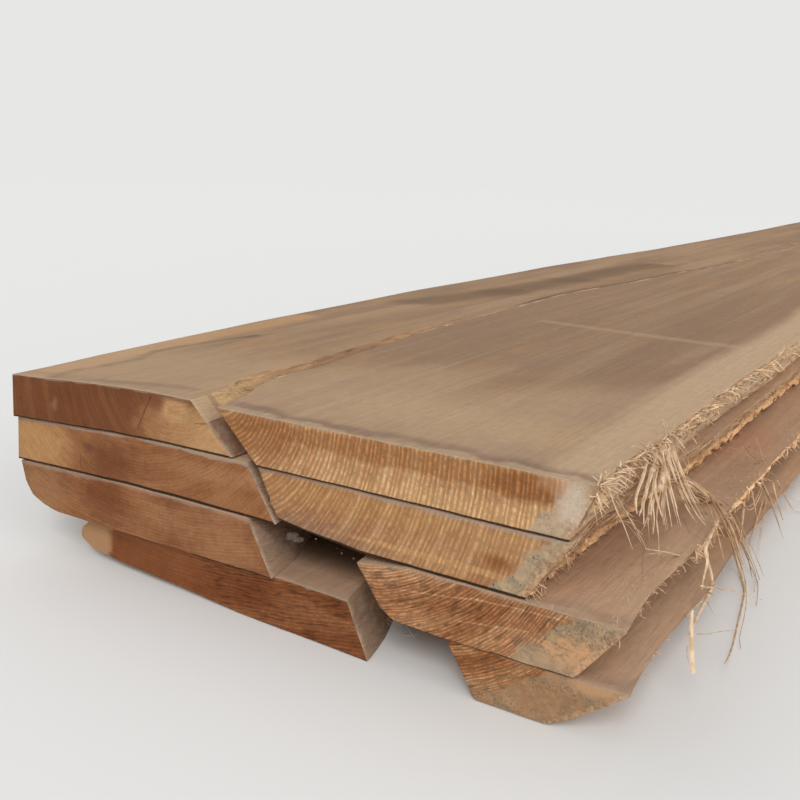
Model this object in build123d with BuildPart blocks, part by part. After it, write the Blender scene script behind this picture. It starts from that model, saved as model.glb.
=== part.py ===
"""Stack of eight live-edge sawn boards, two columns side by side, four layers high.

Millimetres. X runs across the stack, Y along the boards (near end at -Y), Z up.
The origin is the bottom centre of the stack, on the floor it rests on.
"""

from math import cos, pi, radians, sin
import os

from build123d import *

# Length of the boards.
board_length = 4000.0

# Sawn thickness of each board, at its crown where it is cupped.
left_bottom_thickness = 37.5
left_lower_thickness = 40.0
left_upper_thickness = 40.0
left_top_thickness = 38.5
right_bottom_thickness = 34.0
right_lower_thickness = 39.0
right_upper_thickness = 43.0
right_top_thickness = 38.0

# How each board is cut to length: near end set back, its skew in degrees, far end
# set forward, its skew in degrees. A skewed end turns about the board's right edge.
ends = {
    "left_bottom": (1.0, -2.0, -38.0, 0.7),
    "left_lower": (-2.0, 0.3, 18.0, -0.5),
    "left_upper": (0.0, 0.9, -16.0, 0.4),
    "left_top": (0.0, 2.1, 0.0, -1.1),
    "right_bottom": (1.0, 0.3, -26.0, -0.8),
    "right_lower": (-1.0, 0.0, 12.0, 0.6),
    "right_upper": (1.0, -0.2, -10.0, 0.3),
    "right_top": (0.0, 0.2, 6.0, -0.4),
}

# Clearance between the facing bark edges of the top boards and between cupped
# boards, and how far the blanks reach past the trimmed faces and ends.
column_gap = 0.5
cup_clearance = 0.3
overrun = 60.0
trim = 5.0

# Positions across are read from a line along the left side of the stack. A plan line
# is pairs of distance from the near end and position across. The valley is the inner
# top edge of the top right board, and the opening is how far the top left board
# stands off it.
outer_left_line = ((0, 11), (100, 1), (220, -7), (420, -16), (700, -24), (900, -21), (1200, -18),
                   (1450, -10), (1750, 7), (2300, 17), (2900, 23), (3500, 18), (4100, 32))
valley_line = ((0, 239), (45, 228), (108, 207), (162, 211), (212, 205), (334, 193), (450, 184),
               (780, 182), (1100, 212), (1435, 243), (1800, 262), (2300, 252), (2900, 226),
               (3400, 240), (4100, 262))
opening_line = ((0, 24), (60, 18), (160, 11), (300, 7), (450, 3), (560, 0), (4100, 0))
outer_right_line = ((0, 537), (60, 533), (150, 536), (400, 535), (640, 539), (1200, 531),
                    (1900, 544), (2600, 533), (3300, 526), (4100, 540))
swell_line = ((0, 0), (120, 0), (340, 9), (4100, 9))

# Bark edges ripple by this much, in two wave lengths, and some wander on a long wave.
ripple = 1.6
long_wave = 437.0
short_wave = 181.0
wander_wave = 2600.0
first_station = 45.0
station_growth = 1.095

# How far each board's left and right bark edges wander, and where their ripples start.
wanders = {
    "left_bottom": (10.0, 14.0),
    "left_lower": (8.0, 6.0),
    "left_upper": (6.0, 0.0),
    "left_top": (0.0, 0.0),
    "right_bottom": (12.0, 6.0),
    "right_lower": (8.0, 5.0),
    "right_upper": (0.0, 0.0),
    "right_top": (0.0, 0.0),
}
phases = {
    "left_bottom": (0.4, 2.1),
    "left_lower": (1.3, 0.9),
    "left_upper": (2.4, 0.2),
    "left_top": (0.0, 0.0),
    "right_bottom": (1.9, 0.7),
    "right_lower": (0.6, 1.5),
    "right_upper": (0.2, 2.2),
    "right_top": (0.0, 0.4),
}

# Cup of the left column's sawn faces: pairs of position across and height against the
# crown of the face.
lower_cup = ((-200, -5.0), (0, -4.0), (60, -2.5), (140, -0.5), (200, 0.0), (300, -1.0),
             (450, -1.5))
upper_cup = ((-200, -7.5), (0, -6.0), (40, -5.0), (80, -3.2), (130, -1.0), (190, 0.0),
             (260, -0.5), (450, -1.5))
top_cup = ((-200, -9.5), (0, -7.5), (40, -6.0), (80, -3.4), (130, -1.0), (175, 0.0),
           (225, -0.8), (450, -3.0))

# Sections of the bark edges: pairs of height above the board's underside and distance
# across from its plan line.
left_bottom_outer = ((0.0, 251), (3.5, 189), (5.5, 119), (8.0, 85), (18.0, 59),
                     (left_bottom_thickness, 86))
left_bottom_inner = ((0.0, 138), (left_bottom_thickness, 119))
left_lower_outer = ((0.0, 52), (3.0, 36), (9.0, 20), (19.0, 11), (left_lower_thickness, 3))
left_lower_inner = ((0.0, 55), (left_lower_thickness, 31))
left_upper_outer = ((0.0, 3), (left_upper_thickness, 2))
left_top_outer = ((0.0, 2), (left_top_thickness, 0))
right_bottom_inner = ((0.0, 220), (right_bottom_thickness, 198))
right_bottom_outer = ((0.0, -30), (8.5, -14), (24.0, 9), (right_bottom_thickness, 22))
right_lower_inner = ((0.0, 186), (1.5, 158), (8.0, 147), (22.0, 137), (33.5, 128),
                     (right_lower_thickness, 168))
right_lower_outer = ((0.0, -13), (right_lower_thickness, 20))
right_upper_inner = ((0.0, 130), (2.0, 112), (4.5, 80), (8.0, 58), (right_upper_thickness, 38))
right_upper_outer = ((0.0, -46), (right_upper_thickness, -15))
right_top_outer = ((0.0, -18), (right_top_thickness, 0))

# The upper boards' inner edges nest: millimetres across for each one down, and how far
# the left upper board stands off its reference line.
top_nest_slope = 1.08
upper_nest_slope = 0.70
upper_nest_start = 29.5


def stack_up(thicknesses):
    """Heights of the sawn faces of one column, from the floor up."""
    heights = [0.0]
    for thickness in thicknesses:
        heights.append(heights[-1] + thickness)
    return heights


left_heights = stack_up([left_bottom_thickness, left_lower_thickness, left_upper_thickness,
                         left_top_thickness])
right_heights = stack_up([right_bottom_thickness, right_lower_thickness, right_upper_thickness,
                          right_top_thickness])


def between(pairs, place):
    """Read a value from pairs on a straight line, carried on past both ends."""
    count = len(pairs)
    index = next((i for i in range(1, count) if place <= pairs[i][0]), count - 1)
    (x0, v0), (x1, v1) = pairs[index - 1], pairs[index]
    return v0 + (v1 - v0) * (place - x0) / (x1 - x0)


def smooth(pairs, place):
    """Read a value from pairs on a soft curve, level past both ends."""
    inside = min(max(place, pairs[0][0]), pairs[-1][0])
    index = next(i for i in range(1, len(pairs)) if inside <= pairs[i][0])
    (x0, v0), (x1, v1) = pairs[index - 1], pairs[index]
    share = (inside - x0) / (x1 - x0)
    return v0 + (v1 - v0) * share * share * (3 - 2 * share)


def along_outer_left(y):
    return smooth(outer_left_line, y)


def along_valley(y):
    return smooth(valley_line, y)


def along_opening(y):
    return smooth(valley_line, y) - smooth(opening_line, y) - column_gap


def along_outer_right(y):
    return smooth(outer_right_line, y)


def along_swell(y):
    return smooth(outer_right_line, y) + smooth(swell_line, y)


def nest(reference, slope, start, underside, top):
    """Section of a nested inner edge that slopes outwards on its way down."""
    return ((0.0, start + slope * (reference - underside)),
            (top - underside, start + slope * (reference - top)))


def stations():
    """Distances along a board, close together at the near end."""
    places = [-overrun, 0.0]
    step = first_station
    while places[-1] < board_length + overrun:
        places.append(places[-1] + step)
        step *= station_growth
    return places


def bark_edge(line, across, phase, wander):
    """Points of one bark edge at one height, from the near end to the far end."""
    points = []
    for y in stations():
        wave = 0.62 * sin(2 * pi * y / long_wave + phase)
        wave += 0.38 * sin(2 * pi * y / short_wave + 1.7 * phase)
        drift = wander * sin(pi * min(max(y / board_length, 0.0), 1.0))
        drift *= sin(2 * pi * y / wander_wave + phase)
        points.append((line(y) + across + ripple * wave + drift, y))
    return points


def sawn_face(cup, height):
    """Cross section of one sawn face, a cup or a flat one."""
    if cup is None:
        return Line((-board_length, height), (board_length, height))
    return Spline(*[(across, height + rise) for across, rise in cup])


def board(name, underside, top, left, right, under_cup=None, top_cup=None):
    """One board: a ruled loft of plan outlines, sawn to its faces and cut to length.

    left and right each hold a plan line and a section.
    """
    left_line, left_section = left
    right_line, right_section = right
    left_phase, right_phase = phases[name]
    left_wander, right_wander = wanders[name]
    thickness = top - underside
    heights = sorted({height for height, across in left_section + right_section})
    heights = [height for height in heights if 0 < height < thickness]
    sag = min(rise for across, rise in under_cup) - trim if under_cup else 0.0
    heights.insert(0, sag)
    heights.append(thickness + trim if top_cup else thickness)
    near_set, near_skew, far_set, far_skew = ends[name]
    pivot = right_line(0) + right_section[0][1]
    near_turn = radians(near_skew)
    far_turn = radians(far_skew)
    near_plane = Plane(origin=(pivot, near_set, 0), z_dir=(sin(near_turn), -cos(near_turn), 0))
    far_plane = Plane(origin=(pivot, board_length + far_set, 0),
                      z_dir=(-sin(far_turn), cos(far_turn), 0))
    with BuildPart() as piece:
        for height in heights:
            left_points = bark_edge(left_line, between(left_section, height),
                                    left_phase, left_wander)
            right_points = bark_edge(right_line, between(right_section, height),
                                     right_phase, right_wander)
            with BuildSketch(Plane.XY.offset(underside + height)):
                with BuildLine():
                    Spline(*left_points)
                    Line(left_points[-1], right_points[-1])
                    Spline(*reversed(right_points))
                    Line(right_points[0], left_points[0])
                make_face()
        loft(ruled=True)
        if under_cup or top_cup:
            with BuildSketch(Plane.XZ.offset(2 * overrun)):
                with BuildLine():
                    lift = cup_clearance if under_cup else -trim
                    bottom = sawn_face(under_cup, underside + lift)
                    upper = sawn_face(top_cup, top)
                    Line(bottom @ 1, upper @ 1)
                    Line(upper @ 0, bottom @ 0)
                make_face()
            extrude(amount=-board_length - 6 * overrun, mode=Mode.INTERSECT)
        split(bisect_by=near_plane, keep=Keep.BOTTOM)
        split(bisect_by=far_plane, keep=Keep.BOTTOM)
    piece.part.label = name + "_board"
    return piece.part


top_left_inner = nest(right_heights[4], top_nest_slope, 0.0, left_heights[3], left_heights[4])
upper_left_inner = nest(right_heights[3], upper_nest_slope, upper_nest_start, left_heights[2],
                        left_heights[3])
top_right_inner = nest(right_heights[4], top_nest_slope, 0.0, right_heights[3],
                       right_heights[4])

boards = [
    # Left column, from the floor up.
    board("left_bottom", left_heights[0], left_heights[1],
          (along_outer_left, left_bottom_outer), (along_valley, left_bottom_inner)),
    board("left_lower", left_heights[1], left_heights[2],
          (along_outer_left, left_lower_outer), (along_valley, left_lower_inner),
          top_cup=lower_cup),
    board("left_upper", left_heights[2], left_heights[3],
          (along_outer_left, left_upper_outer), (along_valley, upper_left_inner),
          under_cup=lower_cup, top_cup=upper_cup),
    board("left_top", left_heights[3], left_heights[4],
          (along_outer_left, left_top_outer), (along_opening, top_left_inner),
          under_cup=upper_cup, top_cup=top_cup),
    # Right column, from the floor up.
    board("right_bottom", right_heights[0], right_heights[1],
          (along_valley, right_bottom_inner), (along_outer_right, right_bottom_outer)),
    board("right_lower", right_heights[1], right_heights[2],
          (along_valley, right_lower_inner), (along_outer_right, right_lower_outer)),
    board("right_upper", right_heights[2], right_heights[3],
          (along_valley, right_upper_inner), (along_swell, right_upper_outer)),
    board("right_top", right_heights[3], right_heights[4],
          (along_valley, top_right_inner), (along_outer_right, right_top_outer)),
]

# The finished boards are moved together, so that the origin is the bottom centre.
boxes = [piece.bounding_box() for piece in boards]
x_middle = (min(box.min.X for box in boxes) + max(box.max.X for box in boxes)) / 2
y_middle = (min(box.min.Y for box in boxes) + max(box.max.Y for box in boxes)) / 2

os.makedirs("parts", exist_ok=True)
for piece in boards:
    placed = piece.moved(Location((-x_middle, -y_middle, 0)))
    placed.label = piece.label
    export_step(placed, f"parts/{piece.label}.step")
    size = placed.bounding_box().size
    print(piece.label, f"{size.X:.1f} x {size.Y:.1f} x {size.Z:.1f} mm")
print(f"middle of the stack at {x_middle:.2f} across, {y_middle:.2f} along")
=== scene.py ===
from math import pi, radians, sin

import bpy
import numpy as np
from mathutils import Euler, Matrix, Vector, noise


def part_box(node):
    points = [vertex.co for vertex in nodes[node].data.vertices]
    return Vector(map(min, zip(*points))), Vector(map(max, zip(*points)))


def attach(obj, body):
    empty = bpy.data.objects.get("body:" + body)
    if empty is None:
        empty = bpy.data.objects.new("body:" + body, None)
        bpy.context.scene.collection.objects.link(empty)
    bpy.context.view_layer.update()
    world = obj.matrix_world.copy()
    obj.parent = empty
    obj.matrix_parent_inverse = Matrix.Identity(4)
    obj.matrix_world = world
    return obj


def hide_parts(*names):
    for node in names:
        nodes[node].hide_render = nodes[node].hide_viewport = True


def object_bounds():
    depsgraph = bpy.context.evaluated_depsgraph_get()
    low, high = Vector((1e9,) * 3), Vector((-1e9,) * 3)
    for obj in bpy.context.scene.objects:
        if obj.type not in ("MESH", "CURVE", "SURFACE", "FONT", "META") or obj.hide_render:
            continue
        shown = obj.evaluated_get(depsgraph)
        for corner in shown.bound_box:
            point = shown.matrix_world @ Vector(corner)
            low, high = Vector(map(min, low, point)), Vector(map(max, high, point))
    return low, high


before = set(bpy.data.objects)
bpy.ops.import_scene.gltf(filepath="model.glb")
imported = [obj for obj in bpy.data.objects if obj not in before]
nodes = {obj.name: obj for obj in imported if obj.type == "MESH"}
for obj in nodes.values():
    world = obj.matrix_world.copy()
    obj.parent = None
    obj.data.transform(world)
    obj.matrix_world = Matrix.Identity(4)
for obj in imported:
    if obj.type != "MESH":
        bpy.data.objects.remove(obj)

# %% [markdown]
# A stack of eight live-edge boards lies in two columns. Each board comes in as one rigid
# node. The box of the whole stack is noted now, before anything is added.

cad_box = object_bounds()
millimetre = 0.001
near_end = cad_box[0][1]
far_end = cad_box[1][1]


def only(piece):
    """Leave just this piece selected and active, in object mode."""
    if bpy.context.mode != "OBJECT":
        bpy.ops.object.mode_set(mode="OBJECT")
    bpy.ops.object.select_all(action="DESELECT")
    piece.select_set(True)
    bpy.context.view_layer.objects.active = piece


bpy.ops.object.select_all(action="DESELECT")
print("bare stack", [round(v, 3) for corner in cad_box for v in corner])

# %% [markdown]
# The camera stands in front of the near end, to its right, a little above the top boards.
# Its place and turn were worked out from where the long edges, the upright edges and the
# cut ends run in the picture. The picture was taken with its middle below the lens's
# middle, so the camera's lens is shifted down.

# %% Camera
picture_side = 800
sensor_width = 36
focal_pixels = 985
lens_middle = (400, 216)
camera_place = Vector((0.46588, -2.54860, 0.33949))
camera_turn = Euler((radians(86.873), radians(-1.551), radians(32.183)))
bpy.ops.object.camera_add(location=camera_place, rotation=camera_turn)
camera = bpy.context.object
camera.data.sensor_width = sensor_width
camera.data.lens = sensor_width * focal_pixels / picture_side
camera.data.shift_y = (lens_middle[1] - picture_side / 2) / picture_side
camera.data.clip_start = 0.02
bpy.context.scene.camera = camera


def seen_at(across, down, axis, value):
    """The point on a plane (axis 0, 1 or 2 at a value) that shows at a place in the picture."""
    ray = Vector(((across - lens_middle[0]) / focal_pixels,
                  (lens_middle[1] - down) / focal_pixels, -1))
    ray.rotate(camera_turn)
    return camera_place + ray * ((value - camera_place[axis]) / ray[axis])


# %% [markdown]
# A pale floor runs out to the same colour as the world behind it, so there is no hard
# horizon. The light is a plain soft studio light. The stack is four metres long, and a
# lamp close by would light one end more than the other, so all lamps are suns with a wide
# disc, which light every place alike and still give soft shadows. One of them comes in low
# from the right, under the overhanging bark edges.

# %% Floor, world and lamps
backdrop = (0.80, 0.80, 0.79, 1)
floor_radius = 40
fade_start, fade_stop = 4, 14
bpy.ops.mesh.primitive_circle_add(vertices=96, radius=floor_radius, fill_type="NGON")
ground = bpy.context.object
ground.name = "floor"
floor_finish = bpy.data.materials.new("pale floor")
floor_finish.use_nodes = True
tree = floor_finish.node_tree
shader = tree.nodes["Principled BSDF"]
shader.inputs["Base Color"].default_value = (0.765, 0.765, 0.755, 1)
shader.inputs["Roughness"].default_value = 0.9
shader.inputs["Specular IOR Level"].default_value = 0.2
spot = tree.nodes.new("ShaderNodeTexCoord")
reach = tree.nodes.new("ShaderNodeVectorMath")
reach.operation = "LENGTH"
tree.links.new(spot.outputs["Object"], reach.inputs[0])
fade_out = tree.nodes.new("ShaderNodeMapRange")
fade_out.inputs["From Min"].default_value = fade_start
fade_out.inputs["From Max"].default_value = fade_stop
tree.links.new(reach.outputs["Value"], fade_out.inputs["Value"])
glow = tree.nodes.new("ShaderNodeEmission")
glow.inputs["Color"].default_value = backdrop
join = tree.nodes.new("ShaderNodeMixShader")
tree.links.new(fade_out.outputs["Result"], join.inputs["Fac"])
tree.links.new(shader.outputs["BSDF"], join.inputs[1])
tree.links.new(glow.outputs["Emission"], join.inputs[2])
tree.links.new(join.outputs["Shader"], tree.nodes["Material Output"].inputs["Surface"])
ground.data.materials.append(floor_finish)

world = bpy.data.worlds.new("studio")
bpy.context.scene.world = world
world.use_nodes = True
tree = world.node_tree
sky = tree.nodes["Background"]
sky.inputs["Color"].default_value = (1, 1, 1, 1)
sky.inputs["Strength"].default_value = 0.52
behind = tree.nodes.new("ShaderNodeBackground")
behind.inputs["Color"].default_value = backdrop
rays = tree.nodes.new("ShaderNodeLightPath")
either = tree.nodes.new("ShaderNodeMath")
either.operation = "MAXIMUM"
tree.links.new(rays.outputs["Is Camera Ray"], either.inputs[0])
tree.links.new(rays.outputs["Is Glossy Ray"], either.inputs[1])
choose = tree.nodes.new("ShaderNodeMixShader")
tree.links.new(either.outputs[0], choose.inputs["Fac"])
tree.links.new(sky.outputs[0], choose.inputs[1])
tree.links.new(behind.outputs[0], choose.inputs[2])
tree.links.new(choose.outputs[0], tree.nodes["World Output"].inputs["Surface"])


def soft_sun(name, towards, strength, disc):
    """A sun that shines from a direction, with a disc so wide, in degrees."""
    bpy.ops.object.light_add(type="SUN", location=towards)
    lamp = bpy.context.object
    lamp.name = name
    lamp.data.energy = strength
    lamp.data.angle = radians(disc)
    lamp.rotation_euler = Vector(towards).to_track_quat("Z", "Y").to_euler()


soft_sun("key sun", (1.0, -2.2, 2.0), 1.55, 26)
soft_sun("side sun", (2.6, -0.9, 1.0), 0.95, 45)
soft_sun("fill sun", (-2.0, 1.2, 2.4), 0.45, 50)
bpy.context.scene.view_settings.view_transform = "Standard"

# %% [markdown]
# The nodes have the right shape but plain faces, and a real live-edge board has bark
# edges that swell and dip, and worn corners. A copy of the node could be cut up, but its
# triangles follow the bark edge badly. So each board starts as a cube, cut into an even
# grid in edit mode, and every point of the grid is then laid on the node: the node is
# sliced across at each station, and the slice's top, bottom and two bark edges give the
# four sides of that row of the grid.

# %% A grid of even cells from a cube
most_cuts = 100
first_cuts = 10
least_run = 0.0005


def gridded_cube(name, cells):
    """A unit cube from 0 to 1, cut into so many cells along each axis."""
    bpy.ops.mesh.primitive_cube_add(size=1, location=(0.5, 0.5, 0.5))
    piece = bpy.context.object
    piece.name = name
    bpy.ops.object.transform_apply(location=True)
    mesh = piece.data
    steps = [(axis, part) for axis, count in enumerate(cells)
             for part in ((count,) if count <= most_cuts else (first_cuts, count // first_cuts))]
    for axis, count in steps:
        bpy.ops.object.mode_set(mode="EDIT")
        bpy.ops.mesh.select_all(action="DESELECT")
        bpy.ops.mesh.select_mode(type="EDGE")
        bpy.ops.object.mode_set(mode="OBJECT")
        spots = np.array([v.co for v in mesh.vertices])
        ends = np.array([e.vertices for e in mesh.edges])
        along = np.abs(spots[ends[:, 0], axis] - spots[ends[:, 1], axis]) > least_run
        mesh.edges.foreach_set("select", along)
        bpy.ops.object.mode_set(mode="EDIT")
        bpy.ops.mesh.subdivide(number_cuts=count - 1)
        bpy.ops.object.mode_set(mode="OBJECT")
    return piece


# %% [markdown]
# A slice is the closed line where an upright plane cuts the node's triangles. Its two long
# level runs are the sawn faces, and the rest of it, left and right, is the bark edges.

# %% Slices of a node
merge_gap = 0.2 * millimetre
level_share = 0.95


def outline(cloud, links, y, steps):
    """Where a node is sliced at y: four rows of even points, its top, bottom and sides."""
    heights = cloud[:, 1] - y
    first, second = links[:, 0], links[:, 1]
    cut = (heights[first] < 0) != (heights[second] < 0)
    first, second = first[cut], second[cut]
    share = heights[first] / (heights[first] - heights[second])
    ring = cloud[first] + (cloud[second] - cloud[first]) * share[:, None]
    ring = ring[:, [0, 2]]
    middle = (ring.min(0) + ring.max(0)) / 2
    ring = ring[np.argsort(np.arctan2(ring[:, 1] - middle[1], ring[:, 0] - middle[0]))]
    apart = np.linalg.norm(ring - np.roll(ring, 1, 0), axis=1) > merge_gap
    ring = ring[apart]
    step = np.roll(ring, -1, 0) - ring
    flat = np.abs(step[:, 0]) / np.linalg.norm(step, axis=1) > level_share
    tops = flat & (step[:, 0] < 0)
    floors = flat & (step[:, 0] > 0)
    corner = {}
    for side, runs in (("top", tops), ("bottom", floors)):
        both = np.vstack([ring[runs], np.roll(ring, -1, 0)[runs]])
        corner[side] = (both[both[:, 0].argmin()], both[both[:, 0].argmax()])
    place = {key: [int(np.linalg.norm(ring - spot, axis=1).argmin()) for spot in spots]
             for key, spots in corner.items()}

    def run(start, stop, count):
        stretch = [ring[i % len(ring)] for i in range(start, stop + 1 if stop >= start
                                                      else stop + len(ring) + 1)]
        stretch = np.array(stretch)
        length = np.r_[0, np.cumsum(np.linalg.norm(np.diff(stretch, axis=0), axis=1))]
        at = np.linspace(0, length[-1], count + 1)
        return np.c_[np.interp(at, length, stretch[:, 0]), np.interp(at, length, stretch[:, 1])]

    across, up = steps
    top = run(place["top"][1], place["top"][0], across)[::-1]
    left = run(place["top"][0], place["bottom"][0], up)[::-1]
    bottom = run(place["bottom"][0], place["bottom"][1], across)
    right = run(place["bottom"][1], place["top"][1], up)
    return top, bottom, left, right


def patch_of(rows, u, w):
    """Points of a sheet stretched between four rows of points, at shares u and w."""
    top, bottom, left, right = rows
    i = np.rint(u * (len(top) - 1)).astype(int)
    k = np.rint(w * (len(left) - 1)).astype(int)
    u, w = u[:, None], w[:, None]
    flat = bottom[i] * (1 - w) + top[i] * w + left[k] * (1 - u) + right[k] * u
    return flat - (bottom[0] * (1 - u) * (1 - w) + bottom[-1] * u * (1 - w)
                   + top[0] * (1 - u) * w + top[-1] * u * w)


# %% [markdown]
# The cells are small near the camera and longer towards the far end. A cut end isn't quite
# square to its board, so the first and last rows lean with the node's own end faces. How
# far each point is from the two bark edges and from the near end goes with the mesh as
# numbers, and the finishes read them later, so that sapwood follows the bark.

# %% A board laid on its node
cells = (38, 230, 14)
row_growth = 1.0125
arris = 0.7 * millimetre
corner_angle = radians(32)
end_facing = 0.9
slope_step = 8 * millimetre
weld_scale = 1e6


def end_plane(node, sign):
    """How the y of a node's cut end depends on x: its value at x = 0, and its slope."""
    spots = [(face.center, face.normal, face.area) for face in node.data.polygons
             if face.normal.y * sign > end_facing]
    area = sum(a for c, n, a in spots)
    normal = sum((n * a for c, n, a in spots), Vector()) / area
    centre = sum((c * a for c, n, a in spots), Vector()) / area
    slope = -normal.x / normal.y
    return centre.y - slope * centre.x, slope


def lay_board(name):
    """A finely gridded board on the shape of the node of that name."""
    node = nodes[name]
    cloud = np.array([v.co for v in node.data.vertices])
    keys, back = np.unique(np.rint(cloud * weld_scale).astype(int), axis=0, return_inverse=True)
    cloud = keys / weld_scale
    links = np.array([e.vertices for e in node.data.edges])
    links = np.unique(np.sort(back.reshape(-1)[links], axis=1), axis=0)
    piece = gridded_cube(name.replace("_board", "_plank"), cells)
    mesh = piece.data
    grid = np.array([v.co for v in mesh.vertices])
    u, v, w = grid.T
    rows = np.rint(v * cells[1]).astype(int)
    (near_y, near_slope), (far_y, far_slope) = end_plane(node, -1), end_plane(node, 1)
    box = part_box(name)
    sides = (box[0].x, box[1].x)
    firsts = [near_y + near_slope * x for x in sides]
    lasts = [far_y + far_slope * x for x in sides]
    first_whole, last_whole = max(firsts) + millimetre, min(lasts) - millimetre
    growth = row_growth ** np.arange(cells[1])
    shares = np.r_[0, np.cumsum(growth)] / growth.sum()
    placed = np.zeros((len(grid), 3))

    def section(y, chosen):
        inside = min(max(y, first_whole), last_whole)
        spots = patch_of(outline(cloud, links, inside, (cells[0], cells[2])), u[chosen], w[chosen])
        if inside != y:
            further = inside + slope_step * (1 if y < inside else -1)
            other = patch_of(outline(cloud, links, further, (cells[0], cells[2])),
                             u[chosen], w[chosen])
            spots = spots + (spots - other) * (y - inside) / (inside - further)
        return spots

    for row in range(cells[1] + 1):
        chosen = np.where(rows == row)[0]
        ys = [firsts[side] + (lasts[side] - firsts[side]) * shares[row] for side in (0, 1)]
        left, right = section(ys[0], chosen), section(ys[1], chosen)
        share = u[chosen][:, None]
        flat = left * (1 - share) + right * share
        across = (flat[:, 0] - sides[0]) / (sides[1] - sides[0])
        placed[chosen] = np.c_[flat[:, 0], ys[0] + (ys[1] - ys[0]) * across, flat[:, 1]]
    mesh.vertices.foreach_set("co", placed.ravel())
    line = rows * (cells[2] + 1) + np.rint(w * cells[2]).astype(int)
    leftmost = np.full(line.max() + 1, np.inf)
    rightmost = -leftmost
    np.minimum.at(leftmost, line, placed[:, 0])
    np.maximum.at(rightmost, line, placed[:, 0])
    numbers = {"left_gap": placed[:, 0] - leftmost[line],
               "right_gap": rightmost[line] - placed[:, 0],
               "near_gap": placed[:, 1] - (near_y + near_slope * placed[:, 0]), "level": w}
    for key, values in numbers.items():
        mesh.attributes.new(key, "FLOAT", "POINT").data.foreach_set("value", values)
    mesh.update()
    only(piece)
    rounding = piece.modifiers.new("worn corners", "BEVEL")
    rounding.width = arris
    rounding.segments = 2
    rounding.limit_method = "ANGLE"
    rounding.angle_limit = corner_angle
    rounding.use_clamp_overlap = False
    bpy.ops.object.modifier_apply(modifier=rounding.name)
    return piece


# %% [markdown]
# Bark leaves long ridges and hollows that run with the grain. Sawn faces are flatter, but
# not dead flat. Both are shaped by moving the points of the grid along their normals by
# a noise that is stretched along the board.

# %% Relief
flat_depth = 0.35 * millimetre
end_depth = 0.25 * millimetre
torn_reach = 14 * millimetre
torn_depth = 1.1 * millimetre
lowest_level = 0.02
bark_lean, bark_span = 0.30, 0.35
smooth_angle = radians(38)


def wavy(spot, across, along, seed):
    """A soft noise from about -1 to 1, with its own size across and along the board."""
    return noise.noise(Vector((spot.x / across + seed, spot.y / along, spot.z / across - seed)))


def work_surface(piece, seed, bark_depth):
    """Ridges on the bark edges, a slight waviness on the sawn faces, torn lower corners."""
    mesh = piece.data
    low, gap = (np.array([d.value for d in mesh.attributes[key].data])
                for key in ("level", "near_gap"))
    moved = np.zeros((len(mesh.vertices), 3))
    for index, vertex in enumerate(mesh.vertices):
        spot, normal = vertex.co, vertex.normal
        side = abs(normal.x) if abs(normal.y) < 0.5 else 0.0
        bark = min(1.0, max(0.0, (side - bark_lean) / bark_span))
        rise = flat_depth * wavy(spot, 0.11, 0.5, seed) * (1 - bark)
        if bark > 0:
            ridges = wavy(spot, 0.011, 0.10, seed + 3) + 0.6 * wavy(spot, 0.006, 0.022, seed + 7)
            lumps = wavy(spot, 0.025, 0.040, seed + 11)
            crease = 1 - min(1.0, abs(wavy(spot, 0.014, 0.09, seed + 17)) * 6)
            rise += bark_depth * bark * (0.7 * ridges + 0.5 * lumps - 0.6 * crease - 0.2)
        elif abs(normal.y) > 0.8:
            rise = end_depth * wavy(spot, 0.012, 0.01, seed)
        moved[index] = spot + normal * rise
        if low[index] < lowest_level and gap[index] < torn_reach:
            torn = 0.6 + 0.8 * wavy(spot, 0.03, 0.03, seed + 23)
            moved[index, 2] += torn_depth * max(0.0, torn) * (1 - gap[index] / torn_reach)
    mesh.vertices.foreach_set("co", moved.ravel())
    mesh.update()
    only(piece)
    bpy.ops.object.shade_smooth_by_angle(angle=smooth_angle)


# %% [markdown]
# The solid of the bottom left board ends on its left in a long thin point. The real arris
# is worn, so whatever lies within a small depth of it is pushed back most of the way.

# %% A worn arris
worn_column = 15 * millimetre
worn_share = 0.8


def blunt_arris(piece, blunt):
    """The farthest-left arris of a board is worn, so that it no longer ends in a point."""
    points = np.empty(len(piece.data.vertices) * 3)
    piece.data.vertices.foreach_get("co", points)
    points = points.reshape(-1, 3)
    columns = np.round((points[:, 1] - near_end) / worn_column).astype(int)
    tips = np.full(columns.max() + 1, np.inf)
    np.minimum.at(tips, columns, points[:, 0])
    limit = tips[columns] + blunt
    over = np.maximum(0.0, limit - points[:, 0])
    points[:, 0] += over * worn_share
    piece.data.vertices.foreach_set("co", points.ravel())
    piece.data.update()


# %% [markdown]
# The bark edges of the right column stand in the open and are rough. Those of the left
# column are smoother. The numbers are the depths of their ridges in millimetres.

# %% The eight planks
blunted = 7 * millimetre
bark_depths = {"left_bottom": 0.8, "left_lower": 0.8, "left_upper": 0.7, "left_top": 0.9,
               "right_bottom": 1.3, "right_lower": 1.5, "right_upper": 2.4, "right_top": 2.4}
planks = {}
for number, (key, depth) in enumerate(bark_depths.items()):
    plank = lay_board(key + "_board")
    work_surface(plank, 10 * number + 1.5, depth * millimetre)
    if key == "left_bottom":
        blunt_arris(plank, blunted)
    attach(plank, "root")
    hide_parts(key + "_board")
    planks[key] = plank
    print(key, len(plank.data.polygons), "faces")

# %% [markdown]
# A finish is built from nodes. The helpers below only save typing: each adds one node or a
# few, feeds it numbers or other nodes, and hands back what comes out.

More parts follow.
